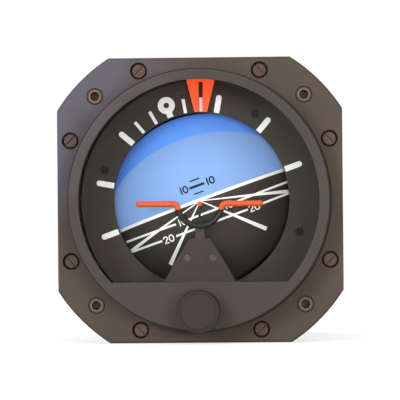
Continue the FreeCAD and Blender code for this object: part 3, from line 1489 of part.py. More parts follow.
def front_bearing_inner_race():
    return [front_bearing()[1]]


def front_bearing_balls():
    middle = y_front_race + front_race_width / 2
    return ball_ring(front_bearing()[2], front_ball_radius, front_ball_count, middle)


def rear_bearing_outer_race():
    return [rear_bearing()[0]]


def rear_bearing_inner_race():
    return [rear_bearing()[1]]


def rear_bearing_balls():
    middle = y_rear_race + rear_race_width / 2
    return ball_ring(rear_bearing()[2], rear_ball_radius, rear_ball_count, middle)


# ================================================================ every node, by name
NODES = [mounting_flange, mount_inserts, flange_screws, bezel_ring, glass_gasket, cover_glass,
         glass_retainer, bank_index, knob_bushing, adjust_knob, knob_set_screw, knob_shaft, knob_pinion,
         symbol_slide_bar, aircraft_symbol, symbol_dot, pedestal_plate, pedestal_screws, slide_guide,
         case_gasket, case_body, front_bearing_outer_race, front_bearing_inner_race, front_bearing_balls,
         rear_bearing_outer_race, rear_bearing_inner_race, rear_bearing_balls, roll_gimbal, dial_ring,
         dial_screws, rear_trunnion, roll_balance_weights, horizon_shell, background_shell, shell_bushes,
         shell_stub_shafts, shell_sector_gear, shell_counterweight, pitch_sector_gear, rotor_housing,
         rotor_housing_cover, housing_screws, pitch_trunnions, pitch_bearing_outer_races,
         pitch_bearing_inner_races, gyro_rotor,
         rotor_shaft, rotor_bearing_races, balance_nut, vane_block, side_vanes, fore_vanes, cover_gasket,
         rear_cover, rear_cover_screws, vacuum_port, filter_element, filter_cap, filter_cap_screw]

for make in NODES:
    write(make.__name__, make())
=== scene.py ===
# %% [markdown]
# # Dressing an attitude indicator
# This file is a lesson in finishing a small instrument. The solid pieces, the gimbals and the
# joints are already made and packed; here they get their paint, their printed marks, their
# threads, dark cords of painted shade in their joints, and the light of a small studio.
# Everything is in metres in the instrument's own frame: +Z up, +X to the pilot's right, +Y into the panel.

# %% Load the imported instrument
import json
import math

import bmesh
import bpy
from mathutils import Matrix, Vector


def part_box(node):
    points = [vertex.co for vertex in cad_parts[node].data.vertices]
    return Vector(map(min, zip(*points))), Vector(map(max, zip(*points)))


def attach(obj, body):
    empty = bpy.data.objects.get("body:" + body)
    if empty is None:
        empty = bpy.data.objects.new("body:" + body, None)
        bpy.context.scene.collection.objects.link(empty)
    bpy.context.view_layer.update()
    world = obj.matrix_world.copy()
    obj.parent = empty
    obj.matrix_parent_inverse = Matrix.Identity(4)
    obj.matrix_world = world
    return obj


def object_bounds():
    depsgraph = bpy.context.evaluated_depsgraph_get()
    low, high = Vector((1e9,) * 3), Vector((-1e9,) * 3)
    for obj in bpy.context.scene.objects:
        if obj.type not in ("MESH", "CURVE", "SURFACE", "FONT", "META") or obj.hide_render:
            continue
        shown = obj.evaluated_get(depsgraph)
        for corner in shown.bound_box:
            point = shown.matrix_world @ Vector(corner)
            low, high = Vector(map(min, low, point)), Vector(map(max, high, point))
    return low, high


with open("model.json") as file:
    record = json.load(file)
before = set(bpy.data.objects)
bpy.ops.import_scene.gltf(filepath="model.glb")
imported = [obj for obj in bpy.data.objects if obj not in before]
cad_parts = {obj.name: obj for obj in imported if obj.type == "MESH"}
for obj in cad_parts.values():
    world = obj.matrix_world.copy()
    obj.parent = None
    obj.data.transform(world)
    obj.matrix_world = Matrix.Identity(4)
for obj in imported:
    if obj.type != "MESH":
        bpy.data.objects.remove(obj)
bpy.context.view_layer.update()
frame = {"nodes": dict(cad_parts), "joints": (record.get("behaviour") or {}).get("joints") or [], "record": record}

MM = 0.001

# %% [markdown]
# ## The places that everything else is measured from
# The dial, the ball and its backdrop lean to the left at rest, because the instrument is banked.
# The lean is read from the pitch joint's own axis, and the ball's centre and radius from its
# joint and its box, so a mark drawn upright can be laid on the leaning ball with one matrix.

# %% The ball's centre, radius and lean
JOINTS = {joint["name"]: joint for joint in frame["joints"]}
MOUNTS = {mount["name"]: mount for mount in frame["record"]["mounts"]}
ball_centre = Vector(JOINTS["horizon_pitch"]["pos_m"])
ball_radius = ball_centre.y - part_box("horizon_shell")[0].y
lean_axis = Vector(JOINTS["horizon_pitch"]["axis"]).normalized()
lean = -math.atan2(lean_axis.z, lean_axis.x)
TO_BALL = Matrix.Translation(ball_centre) @ Matrix.Rotation(lean, 4, "Y")
dial_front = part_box("dial_ring")[0].y
TO_DIAL = Matrix.Translation((0, dial_front, 0)) @ Matrix.Rotation(lean, 4, "Y")
print("ball radius mm:", round(ball_radius / MM, 2), "lean:", round(math.degrees(lean), 1))

# %% [markdown]
# ## The camera and the studio
# The instrument is looked at nearly straight on, through a long lens, so its square flange keeps
# its shape. A long lens far away shows almost no perspective, which is how catalogue pictures of
# instruments are taken. The camera is built from two angles, a slight roll and a distance.

# %% Camera
camera_azimuth = math.radians(2.6)
camera_elevation = math.radians(-0.7)
camera_roll = math.radians(-0.5)
camera_distance = 1.0
view_width = 120.1 * MM
sensor_width = 36.0

camera_data = bpy.data.cameras.new("camera")
camera_data.sensor_width = sensor_width
camera_data.lens = sensor_width * camera_distance / view_width
camera_data.clip_start = 0.01
camera_data.clip_end = 20.0
camera = bpy.data.objects.new("camera", camera_data)
bpy.context.scene.collection.objects.link(camera)
towards_camera = Vector((
    math.sin(camera_azimuth) * math.cos(camera_elevation),
    -math.cos(camera_azimuth) * math.cos(camera_elevation),
    math.sin(camera_elevation),
))
camera.location = towards_camera * camera_distance
aim = (-towards_camera).to_track_quat("-Z", "Y")
camera.rotation_mode = "QUATERNION"
camera.rotation_quaternion = aim @ Matrix.Rotation(camera_roll, 3, "Z").to_quaternion()
bpy.context.scene.camera = camera
bpy.context.scene.view_settings.view_transform = "Standard"
print("lens mm:", round(camera_data.lens, 1))

# %% [markdown]
# ## Building materials from nodes
# A finish is rarely one colour. Each material below starts from a base colour and adds what the
# real surface has: a slow drift of tone, a fine grain that also changes the gloss, a bump, and a
# change of tone along the edges. A Bevel node rounds the edges for the light only, and where its
# normal parts from the true one there is an edge, which gives a mask for wear, and on the screws
# for a painted highlight, without any UV map.

# %% Node helpers
FINISHES = {}


def feed(tree, made, **values):
    """Sets or links a node's inputs, named in_N or in_Name_Words, and its other settings."""
    for key, value in values.items():
        if not key.startswith("in_"):
            setattr(made, key, value)
            continue
        slot = key[3:]
        socket = made.inputs[int(slot) if slot.isdigit() else slot.replace("_", " ")]
        if hasattr(value, "is_linked"):
            tree.links.new(value, socket)
        else:
            socket.default_value = value
    return made


def node(tree, kind, **values):
    """Adds a node to a tree and feeds it."""
    return feed(tree, tree.nodes.new(kind), **values)


def linear(red, green, blue):
    """A colour given as 0 to 255 screen values, as the linear colour that shaders take."""
    def one(value):
        share = value / 255
        return share / 12.92 if share <= 0.04045 else ((share + 0.055) / 1.055) ** 2.4
    return (one(red), one(green), one(blue), 1.0)


def shaded(colour, share):
    """A linear colour made darker or lighter, but never brighter than white."""
    return tuple(min(1.0, channel * share) for channel in colour[:3]) + (1.0,)


def empty_tree(owner):
    """The node tree of a material or world, with nothing in it."""
    owner.use_nodes = True
    owner.node_tree.nodes.clear()
    return owner.node_tree


def new_material(name):
    """A finish with one Principled shader, kept under its name."""
    material = FINISHES[name] = bpy.data.materials.new(name)
    tree = empty_tree(material)
    surface = node(tree, "ShaderNodeBsdfPrincipled")
    node(tree, "ShaderNodeOutputMaterial", in_Surface=surface.outputs[0])
    return material, tree, surface


print("middle grey of a screen, as a linear colour:", round(linear(128, 128, 128)[0], 3))

# %% [markdown]
# ## Steps that the finishes share
# Each of these functions adds one step to a node tree and returns the socket it comes out of, so
# that a finish can be written as a sentence: noise, spread over a range, blends two colours. They
# all start from the Object coordinates, which are the same for a piece wherever it is moved.

# %% Steps in a node tree
def maths(tree, operation, *values):
    """One step of arithmetic on numbers, each a socket or a plain number."""
    fed = {f"in_{place}": value for place, value in enumerate(values)}
    return node(tree, "ShaderNodeMath", operation=operation, **fed).outputs[0]


def vector_maths(tree, operation, *values):
    """The same on vectors; a length or a dot product comes out as a number."""
    fed = {f"in_{place}": value for place, value in enumerate(values)}
    step = node(tree, "ShaderNodeVectorMath", operation=operation, **fed)
    return step.outputs["Value" if operation in ("LENGTH", "DOT_PRODUCT") else "Vector"]


def own_place(tree):
    """Where each point lies, in the piece's own coordinates."""
    return node(tree, "ShaderNodeTexCoord").outputs["Object"]


def object_noise(tree, scale, detail=3.0, stretch=(1, 1, 1)):
    """Noise on the piece's own coordinates, stretched along an axis for a brushed grain."""
    turn = node(tree, "ShaderNodeMapping", in_Vector=own_place(tree), in_Scale=stretch)
    noise = node(tree, "ShaderNodeTexNoise", in_Vector=turn.outputs[0], in_Scale=scale, in_Detail=detail)
    return noise.outputs["Fac"]


def remap(tree, value, low, high, to_low, to_high):
    """Maps one range of values on to another, and stops at its ends."""
    step = node(tree, "ShaderNodeMapRange", in_0=value, in_1=low, in_2=high, in_3=to_low, in_4=to_high)
    return step.outputs[0]


def blend_colours(tree, factor, first, second):
    """Mixes two colours, each a socket or a plain colour, by a factor."""
    mix = node(tree, "ShaderNodeMix", data_type="RGBA", in_0=factor, in_6=first, in_7=second)
    return mix.outputs[2]


def edge_mask(tree, radius, strength):
    """0 on a flat face, rising to 1 over an outer or inner edge, with the rounded normal."""
    rounded = node(tree, "ShaderNodeBevel", samples=4, in_Radius=radius).outputs[0]
    flat = node(tree, "ShaderNodeNewGeometry").outputs["Normal"]
    parting = vector_maths(tree, "DOT_PRODUCT", rounded, flat)
    return remap(tree, parting, 1.0, 1.0 - strength, 0.0, 1.0), rounded


print("steps ready for", len(frame["nodes"]), "packed pieces")

# %% [markdown]
# ## One recipe for coated and bare metal
# `surface_finish` is the recipe that most pieces share. Its arguments are the things a finisher
# would choose: colour, drift, grain size, gloss, how deep the texture is and what the edges do.
# A second, cool colour can also be given: it is painted light, rising towards a piece's upper left
# where the key lamp falls. A glow is painted light too: the paint gives back light of its own,
# though it is no lamp, to lift paint lying in shade.

# %% The shared recipe
drift_scale, cloud_scale, breakup_scale = 42.0, 60.0, 420.0
# The cool tint below is painted light, rising towards the upper left where the key lamp falls.
painted_light_side = (-0.75, 0.0, 0.66)
painted_light_start, painted_light_end, painted_light_ragged = 50 * MM, 66 * MM, 45 * MM
painted_light_most = 0.7


def upper_left_light(tree):
    """Painted light: 0 over most of a piece, rising towards its upper left where the key lamp falls, with a cloudy
    border.
    """
    reach = vector_maths(tree, "DOT_PRODUCT", own_place(tree), painted_light_side)
    cloudy = maths(tree, "MULTIPLY_ADD", object_noise(tree, cloud_scale, 3.0), painted_light_ragged, reach)
    return remap(tree, cloudy, painted_light_start, painted_light_end, 0.0, painted_light_most)


def surface_finish(name, colour, drift=0.12, grain=900.0, roughness=(0.45, 0.6), metallic=0.0,
                   bump=0.25, depth=0.04 * MM, edge=None, edge_radius=0.25 * MM, edge_strength=0.25,
                   stretch=(1, 1, 1), specular=0.5, painted_light_tint=None, glow=0.0):
    """A finish from screen colours. Drift is a share of the tone, grain is waves a metre."""
    material, tree, surface = new_material(name)
    base = linear(*colour)
    slow = remap(tree, object_noise(tree, drift_scale, 2.0), 0.3, 0.7, 0.0, 1.0)
    fine = object_noise(tree, grain, 3.0, stretch)
    tone = blend_colours(tree, slow, shaded(base, 1 - drift), shaded(base, 1 + drift))
    # Painted light: a cool tint towards the upper left, where the key lamp falls.
    if painted_light_tint:
        tone = blend_colours(tree, upper_left_light(tree), tone, linear(*painted_light_tint))
    speckle = remap(tree, fine, 0.35, 0.65, 1 - drift * 0.8, 1 + drift * 0.8)
    tone = node(tree, "ShaderNodeVectorMath", operation="SCALE", in_0=tone, in_Scale=speckle).outputs[0]
    relief = node(tree, "ShaderNodeBump", in_Strength=bump, in_Distance=depth, in_Height=fine)
    if edge:
        mask, rounded = edge_mask(tree, edge_radius, edge_strength)
        breakup = remap(tree, object_noise(tree, breakup_scale, 4.0), 0.35, 0.6, 0.25, 1.0)
        tone = blend_colours(tree, maths(tree, "MULTIPLY", mask, breakup), tone, linear(*edge))
        feed(tree, relief, in_Normal=rounded)
    # A glow above nought is painted light: the paint gives back light of its own, though it is no lamp.
    feed(tree, surface, in_Base_Color=tone, in_Roughness=remap(tree, fine, 0.3, 0.7, *roughness),
         in_Metallic=metallic, in_Specular_IOR_Level=specular, in_Emission_Color=base,
         in_Emission_Strength=glow, in_Normal=relief.outputs[0])
    return material


print("painted_light_spread over mm:", round((painted_light_end - painted_light_start) / MM, 1))

# %% [markdown]
# ## The finishes of the instrument
# The flange and ring are bead-blasted aluminium with black anodising that has gone warm with
# age. The case is painted, the screws are blackened steel, and the fittings are bare brass.
# Colours are given as screen values and turned into linear ones, which is what a shader needs.
# Each line gives a name, a colour, its drift, the grain, the least and the most roughness, and 1.0
# where the surface is bare metal.

# %% Finishes
# The cool second colours of the flange and the ring are painted light from the upper left.
surface_finish("anodised_black", (77, 64, 53), 0.11, 5200.0, (0.5, 0.64), edge=(24, 21, 19),
               edge_radius=0.4 * MM, edge_strength=0.1, specular=0.35, painted_light_tint=(92, 88, 106))
surface_finish("ring_black", (63, 54, 47), 0.07, 5200.0, (0.5, 0.62), edge=(104, 94, 86),
               edge_radius=0.4 * MM, specular=0.35, painted_light_tint=(82, 75, 79))
surface_finish("cast_black", (53, 51, 50), 0.12, 2600.0, (0.42, 0.6), bump=0.5, depth=0.05 * MM,
               edge=(104, 101, 98), specular=0.4)
surface_finish("brass", (196, 158, 96), 0.12, 3600.0, (0.26, 0.42), 1.0, bump=0.12, edge=(226, 190, 128))
# The screws' light edge colour is partly wear on the blackened steel and partly a painted highlight along the
# slots.
surface_finish("black_screws", (85, 66, 58), 0.18, 4800.0, (0.3, 0.46), 0.5, bump=0.15,
               edge=(206, 168, 140), edge_radius=0.28 * MM, edge_strength=0.35)
surface_finish("steel", (186, 186, 188), 0.08, 4000.0, (0.24, 0.4), 1.0, bump=0.1, stretch=(1, 12, 1))
surface_finish("bright_steel", (214, 214, 216), 0.04, 4000.0, (0.08, 0.16), 1.0, bump=0.03)
surface_finish("rubber", (40, 39, 38), 0.15, 4000.0, (0.7, 0.85), bump=0.3)
# A near black for the cords of painted shade laid in the joints.
surface_finish("gap_shade_black", (34, 30, 27), 0.15, 4000.0, (0.45, 0.6), bump=0.2, specular=0.2)
surface_finish("dial_black", (76, 69, 61), 0.025, 9000.0, (0.7, 0.76), bump=0.03, depth=0.02 * MM,
               specular=0.15)
surface_finish("pedestal_black", (65, 57, 53), 0.03, 9000.0, (0.62, 0.7), bump=0.04, depth=0.02 * MM,
               specular=0.2)
surface_finish("knob_black", (47, 40, 35), 0.08, 5200.0, (0.5, 0.64), bump=0.2, edge=(22, 19, 17),
               edge_radius=0.3 * MM, edge_strength=0.1, specular=0.3)
surface_finish("gimbal_aluminium", (196, 197, 199), 0.06, 3200.0, (0.3, 0.45), 1.0, bump=0.12)
surface_finish("rotor_brass", (204, 166, 104), 0.08, 3600.0, (0.2, 0.34), 1.0, bump=0.08,
               stretch=(1, 1, 10))
# The index's glow is painted light that lifts it out of the bezel's shade.
surface_finish("index_orange", (250, 92, 46), 0.04, 5200.0, (0.45, 0.56), bump=0.08, specular=0.25,
               glow=0.45)
surface_finish("filter_felt", (228, 222, 196), 0.12, 2600.0, (0.85, 0.98), bump=0.9, depth=0.2 * MM,
               specular=0.1)
# The white marks' glow is painted light that lifts them in the shade of the deep dial.
surface_finish("mark_white", (252, 250, 246), 0.02, 5200.0, (0.5, 0.62), bump=0.08, depth=0.02 * MM,
               specular=0.3, glow=0.2)
surface_finish("mark_black", (34, 33, 38), 0.06, 5200.0, (0.5, 0.65), bump=0.08, depth=0.02 * MM,
               specular=0.2)
print("finishes:", len(FINISHES))

# %% [markdown]
# ## Blue above, black below
# The moving ball is sprayed blue down to the horizon and black below it, and so is the fixed
# backdrop behind it. The height over the horizon is worked out inside the material: a Mapping
# node turns the piece's own coordinates by the lean, and the Z part is then the height.

# %% Two-colour ball paint
split_softness = 0.05 * MM


def above_height(tree, place, height, softness):
    """0 under a height and 1 over it, with a soft step between."""
    z = node(tree, "ShaderNodeSeparateXYZ", in_0=place).outputs["Z"]
    return remap(tree, z, height - softness, height + softness, 0.0, 1.0)


def ball_paint(name, split_height, sky, ground, glow):
    """Blue with a little painted glow above a height over the ball's centre, and black below it."""
    _, tree, surface = new_material(name)
    sky, ground = linear(*sky), linear(*ground)
    turn = node(tree, "ShaderNodeMapping", vector_type="TEXTURE", in_Vector=own_place(tree),
                in_Location=ball_centre, in_Rotation=(0, lean, 0))
    above = above_height(tree, turn.outputs[0], split_height, split_softness)
    shade = remap(tree, object_noise(tree, 30.0, 2.0), 0.3, 0.7, 0.0, 1.0)
    sky_tone = blend_colours(tree, shade, shaded(sky, 0.94), sky)
    ground_tone = blend_colours(tree, shade, shaded(ground, 0.85), ground)
    grain = object_noise(tree, 1800.0, 2.0)
    relief = node(tree, "ShaderNodeBump", in_Strength=0.05, in_Distance=0.03 * MM, in_Height=grain)
    feed(tree, surface, in_Base_Color=blend_colours(tree, above, ground_tone, sky_tone),
         in_Emission_Color=sky, in_Emission_Strength=remap(tree, above, 0.0, 1.0, 0.0, glow),
         in_Roughness=remap(tree, grain, 0.3, 0.7, 0.5, 0.68), in_Specular_IOR_Level=0.1,
         in_Normal=relief.outputs[0])


sky_blue, deep_blue, ground_black = (125, 157, 208), (104, 161, 255), (74, 67, 62)
backdrop_radius = ball_centre.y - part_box("background_shell")[0].y
backdrop_split = backdrop_radius * math.sin(-math.radians(8.0))
# The glow on both blues is painted light that evens out the shade inside the deep dial.
ball_paint("ball_paint", 0.0, sky_blue, ground_black, 0.4)
ball_paint("backdrop_paint", backdrop_split, deep_blue, ground_black, 0.28)
print("backdrop's horizon mm over the ball's centre:", round(backdrop_split / MM, 2))

# %% [markdown]
# ## The orange aircraft on a black yoke
# The miniature aircraft is one bent wire. Only its wings are orange: the yoke under the dot is
# black, so that the pilot's eye takes it for part of the stand. One material does both, and
# changes colour where the wire leaves the level of the wings.

# %% Wing paint
wire_softness = 0.04 * MM


def shader_of(material):
    """The Principled shader of a finish."""
    return next(n for n in material.node_tree.nodes if n.type == "BSDF_PRINCIPLED")


def paint_over(material, mask, colour):
    """Covers a finish with a plain screen colour where the mask is 1."""
    tree, surface = material.node_tree, shader_of(material)
    below = surface.inputs["Base Color"].links[0].from_socket
    feed(tree, surface, in_Base_Color=blend_colours(tree, mask, below, linear(*colour)))


def two_tone_wire(name, change_height):
    """Orange with a little painted glow above a height, and black below it."""
    material = surface_finish(name, (218, 88, 43), 0.04, 1200.0, (0.4, 0.52), bump=0.1, specular=0.3)
    tree = material.node_tree
    above = above_height(tree, own_place(tree), change_height, wire_softness)
    paint_over(material, remap(tree, above, 0.0, 1.0, 1.0, 0.0), (32, 30, 28))
    # The glow on the orange is painted light.
    feed(tree, shader_of(material), in_Emission_Strength=remap(tree, above, 0.0, 1.0, 0.0, 0.1))


wing_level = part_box("aircraft_symbol")[1].z
dot_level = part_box("symbol_dot")[1].z
orange_depth_wings, orange_depth_dot = 2.6 * MM, 1.42 * MM
two_tone_wire("wing_paint", wing_level - orange_depth_wings)
two_tone_wire("dot_paint", dot_level - orange_depth_dot)
print("top of the wings mm:", round(wing_level / MM, 2), "top of the dot:", round(dot_level / MM, 2))

# %% [markdown]
# ## Inserts that are bright only inside
# The brass inserts in the corners are painted dark on their rims, and the bottom of each bore is
# painted dark as painted shade, so only the thread between them shines. The four corners are folded into one by
# taking the absolute value of X and Z, and the distance from the insert's axis then tells rim from bore.

# %% Insert finish
insert_rim = 2.3 * MM
insert_bore = 1.5 * MM
insert_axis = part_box("mount_inserts")[1].x - insert_rim
rim_dark_from, rim_dark_full = insert_bore + 0.14 * MM, insert_bore + 0.24 * MM
bottom_shade_full, bottom_shade_to = insert_bore - 0.2 * MM, insert_bore - 0.05 * MM


def distance_from_axis(tree, place, axis):
    """How far each point lies from an axis along Y."""
    flat = vector_maths(tree, "MULTIPLY_ADD", place, (1.0, 0.0, 1.0), (-axis.x, 0.0, -axis.z))
    return vector_maths(tree, "LENGTH", flat)


def insert_finish(name):
    """Dark on the rim and painted shade at the bottom of the bore, bright on the thread between them."""
    material = surface_finish(name, (164, 122, 76), 0.15, 3600.0, (0.3, 0.45), 1.0, bump=0.12)
    tree = material.node_tree
    folded = vector_maths(tree, "ABSOLUTE", own_place(tree))
    far = distance_from_axis(tree, folded, Vector((insert_axis, 0.0, insert_axis)))
    rim = remap(tree, far, rim_dark_from, rim_dark_full, 0.0, 1.0)
    # Painted shade at the bottom of the bore.
    bottom = remap(tree, far, bottom_shade_full, bottom_shade_to, 1.0, 0.0)
    dark = maths(tree, "MAXIMUM", rim, bottom)
    paint_over(material, dark, (74, 58, 47))
    feed(tree, shader_of(material), in_Metallic=remap(tree, dark, 0.0, 1.0, 1.0, 0.0))


insert_finish("insert_brass")
print("insert axis from the middle mm:", round(insert_axis / MM, 2))

# %% [markdown]
# ## Dark lines on the bezel ring and the knob
# The side of the ring and the very edge of its face are painted dark: painted shade where the ring
# meets the flange. A dark ring is also painted on the knob's face just inside its chamfer. Both are paint between
# two distances from an axis along Y, so one function serves them.

# %% Ring border and knob groove
ring_side = MOUNTS["bezel_spigot"]["dims"]["r_mm"] * MM
ring_shade_border = ring_side - 0.35 * MM
past_the_ring = ring_side + 5 * MM
knob_dark_ring = (5.15 * MM, 5.45 * MM)
line_softness = 0.06 * MM


def dark_line(name, axis, inner, outer, colour):
    """Paints a finish dark between two distances from an axis along Y."""
    material = FINISHES[name]
    tree = material.node_tree
    far = distance_from_axis(tree, own_place(tree), axis)
    beyond = remap(tree, far, inner - line_softness, inner + line_softness, 0.0, 1.0)
    within = remap(tree, far, outer - line_softness, outer + line_softness, 1.0, 0.0)
    paint_over(material, maths(tree, "MULTIPLY", beyond, within), colour)


# Painted shade on the ring's outer edge and side, where it meets the flange.
dark_line("ring_black", Vector(), ring_shade_border, past_the_ring, (18, 16, 15))
# A dark ring painted on the knob's face just inside its chamfer.
dark_line("knob_black", Vector(JOINTS["knob_turn"]["pos_m"]), *knob_dark_ring, (16, 14, 12))
print("ring border from radius mm:", round(ring_shade_border / MM, 2))

# %% [markdown]
# ## The cover glass
# Real instrument glass is coated against reflections. A renderer draws what little reflection is
# left as bright specks, which look like dust over a dark dial, so the index here is set low
# enough for the pane to reflect almost nothing. It is glass for the eye, and a plain transparent
# film for lamp light and scattered light on the way to and from the dial, so that the dial
# behind it is lit as through real glass instead of lying in its shadow.

# %% Glass
glass_index = 1.05
glass_tint, film_tint = (0.985, 0.995, 1.0, 1.0), (0.96, 0.98, 0.98, 1.0)


def pane_glass(name):
    """Glass for the eye, and a clear film for scattered light and shadows."""
    _, tree, surface = new_material(name)
    smear = remap(tree, object_noise(tree, 60.0, 3.0), 0.62, 0.9, 0.0, 0.01)
    feed(tree, surface, in_Base_Color=glass_tint, in_Transmission_Weight=1.0, in_IOR=glass_index,
         in_Specular_IOR_Level=0.2, in_Roughness=smear)
    ray = node(tree, "ShaderNodeLightPath")
    clear = node(tree, "ShaderNodeBsdfTransparent", in_0=film_tint).outputs[0]
    seen = surface.outputs[0]
    for kind in ("Is Diffuse Ray", "Is Shadow Ray"):
        seen = node(tree, "ShaderNodeMixShader", in_0=ray.outputs[kind], in_1=seen, in_2=clear).outputs[0]
    output = next(n for n in tree.nodes if n.type == "OUTPUT_MATERIAL")
    feed(tree, output, in_Surface=seen)


pane_glass("glass")
print("glass sends back, in ten thousand:", round(10000 * ((glass_index - 1) / (glass_index + 1)) ** 2, 1))

# %% [markdown]
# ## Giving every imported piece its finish
# The record names a material slot for each node. Most slots have a finish of the same name, and
# the few pieces that need their own are listed by node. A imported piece's mesh is never touched:
# only its material slots are filled.

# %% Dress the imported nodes
OWN_FINISH = {
    "pedestal_plate": "pedestal_black",
    "mount_inserts": "insert_brass",
    "bezel_ring": "ring_black",
    "horizon_shell": "ball_paint",
    "background_shell": "backdrop_paint",
    "aircraft_symbol": "wing_paint",
    "symbol_dot": "dot_paint",
    "symbol_slide_bar": "dial_black",
    "dial_screws": "mark_black",
}


def dress_nodes():
    """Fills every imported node's material slots, and counts the nodes."""
    for part in frame["record"]["subparts"]:
        mesh = frame["nodes"][part["node"]].data
        mesh.materials.clear()
        mesh.materials.append(FINISHES[OWN_FINISH.get(part["node"], part["material_slot"])])
    return len(frame["record"]["subparts"])


print("dressed nodes:", dress_nodes())

# %% [markdown]
# ## Flat paint first, then the ball
# The lines and figures on the ball are printed, so they are thin and follow its curve. Drawing
# them directly in three dimensions would be hard. They are drawn flat instead, as a sheet of
# small faces in the plane of the dial, and a Geometry Nodes tree then pushes each point back on
# to the ball and gives the film its thickness.

# %% Flat strips and strokes
step_length = 0.7 * MM


def strip(sheet, start, end, start_width, end_width=None):
    """A straight line of paint in the X and Z plane, cut into short faces."""
    end_width = end_width or start_width
    first, last = Vector(start) * MM, Vector(end) * MM
    along = last - first
    pieces = max(2, round(along.length / step_length))
    side = Vector((-along.y, along.x)).normalized()
    rows = []
    for index in range(pieces + 1):
        share = index / pieces
        middle = first + along * share
        half = (start_width + (end_width - start_width) * share) * MM / 2
        places = [middle + side * half * across for across in (-1, 0, 1)]
        rows.append([sheet.verts.new((place.x, 0, place.y)) for place in places])
    for low, high in zip(rows, rows[1:]):
        for left in (0, 1):
            sheet.faces.new((low[left], low[left + 1], high[left + 1], high[left]))


def stroke(sheet, points, width, closed=False, square_end=False):
    """A ribbon of paint through a list of points: closed, or with round ends, or one square."""
    line = [Vector(point) * MM for point in points]
    count = len(line)
    half = width * MM / 2
    rows = []
    for index, here in enumerate(line):
        before = line[index - 1] if index > 0 or closed else here
        after = line[(index + 1) % count] if index < count - 1 or closed else here
        along = (after - before).normalized()
        side = Vector((-along.y, along.x)) * half
        rows.append((sheet.verts.new((here.x - side.x, 0, here.y - side.y)),
                     sheet.verts.new((here.x + side.x, 0, here.y + side.y))))
    last = count if closed else count - 1
    for index in range(last):
        low, high = rows[index], rows[(index + 1) % count]
        sheet.faces.new((low[0], low[1], high[1], high[0]))
    if not closed:
        round_end(sheet, line[0], line[0] - line[1], half, rows[0])
    if not closed and not square_end:
        round_end(sheet, line[-1], line[-1] - line[-2], half, rows[-1])


def round_end(sheet, centre, outward, radius, pair):
    """A half disc that closes a stroke's end."""
    steps = 6
    outward = outward.normalized()
    first = Vector((pair[0].co.x, pair[0].co.z)) - centre
    turn = 1 if first.x * outward.y - first.y * outward.x > 0 else -1
    fan = [pair[0]]
    for index in range(1, steps):
        angle = turn * math.pi * index / steps
        spun = Vector((first.x * math.cos(angle) - first.y * math.sin(angle),
                       first.x * math.sin(angle) + first.y * math.cos(angle)))
        fan.append(sheet.verts.new((centre.x + spun.x, 0, centre.y + spun.y)))
    fan.append(pair[1])
    sheet.faces.new(fan)


def arc(centre, radius_x, radius_z, start, end, steps):
    """Points along part of an ellipse, angles in degrees from +X."""
    points = []
    for index in range(steps + 1):
        angle = math.radians(start + (end - start) * index / steps)
        points.append((centre[0] + radius_x * math.cos(angle), centre[1] + radius_z * math.sin(angle)))
    return points


print("longest face of a strip mm:", round(step_length / MM, 2))

# %% [markdown]
# ## Figures from strokes
# Engraved instrument figures are single strokes of one width with round ends, as a pantograph
# cuts them. A one is a line, a nought an oval, and a two an arc that runs into a slope and a
# foot. Each function draws its figure round a centre, one unit high, so one height sets them all.

# %% Figures
def figure_one(sheet, x, z, height, width):
    stroke(sheet, [(x, z - height / 2), (x, z), (x, z + height / 2)], width)


def figure_nought(sheet, x, z, height, width):
    stroke(sheet, arc((x, z), height * 0.34, height / 2, 0, 350, 27), width, closed=True)


def figure_two(sheet, x, z, height, width):
    top = arc((x, z + height * 0.2), height * 0.3, height * 0.3, 165, -35, 12)
    foot = [(x - height * 0.3, z - height * 0.5), (x + height * 0.32, z - height * 0.5)]
    stroke(sheet, top + [(x, z - height * 0.2)] + foot, width)


FIGURES = {"0": figure_nought, "1": figure_one, "2": figure_two}
FIGURE_ROOM = {"0": 0.95, "1": 0.45, "2": 0.92}


def number(sheet, text, x, z, height, width):
    """A number centred on a place."""
    at = x - sum(FIGURE_ROOM[figure] for figure in text) * height / 2
    for figure in text:
        room = FIGURE_ROOM[figure] * height
        FIGURES[figure](sheet, at + room / 2, z, height, width)
        at += room


print("figures:", sorted(FIGURES))

# %% [markdown]
# ## How a Geometry Nodes tree starts and ends
# A tree is like a small machine: geometry goes in with some sizes, and geometry comes out. Each
# one here has named inputs, and ends with Realize Instances and Set Material, so that what comes
# out is plain mesh in one finish.

# %% Geometry Nodes: start and end
def tree_with(name, **inputs):
    """A new Geometry Nodes tree with the inputs named, and the outputs of its input node."""
    tree = bpy.data.node_groups.new(name, "GeometryNodeTree")
    for label, kind in {"Geometry": "Geometry", **inputs, "Material": "Material"}.items():
        tree.interface.new_socket(label, in_out="INPUT", socket_type="NodeSocket" + kind)
    tree.interface.new_socket("Geometry", in_out="OUTPUT", socket_type="NodeSocketGeometry")
    return tree, node(tree, "NodeGroupInput").outputs


def end_tree(tree, geometry, source):
    """Every tree here ends the same way: real mesh, one material."""
    real = node(tree, "GeometryNodeRealizeInstances", in_0=geometry)
    paint = node(tree, "GeometryNodeSetMaterial", in_Geometry=real.outputs[0],
                 in_Material=source["Material"])
    node(tree, "NodeGroupOutput", in_0=paint.outputs[0])
    return tree


print("tree helpers ready")

# %% [markdown]
# ## The tree that lays paint on the ball
# Its sizes are the ball's radius and the film's thickness. It works out how far back the ball
# lies under each point, moves the point there, thickens the sheet outwards, closes its back with
# a flipped copy and merges the two.

# %% Geometry Nodes: paint on the ball
merge_distance = 0.002 * MM


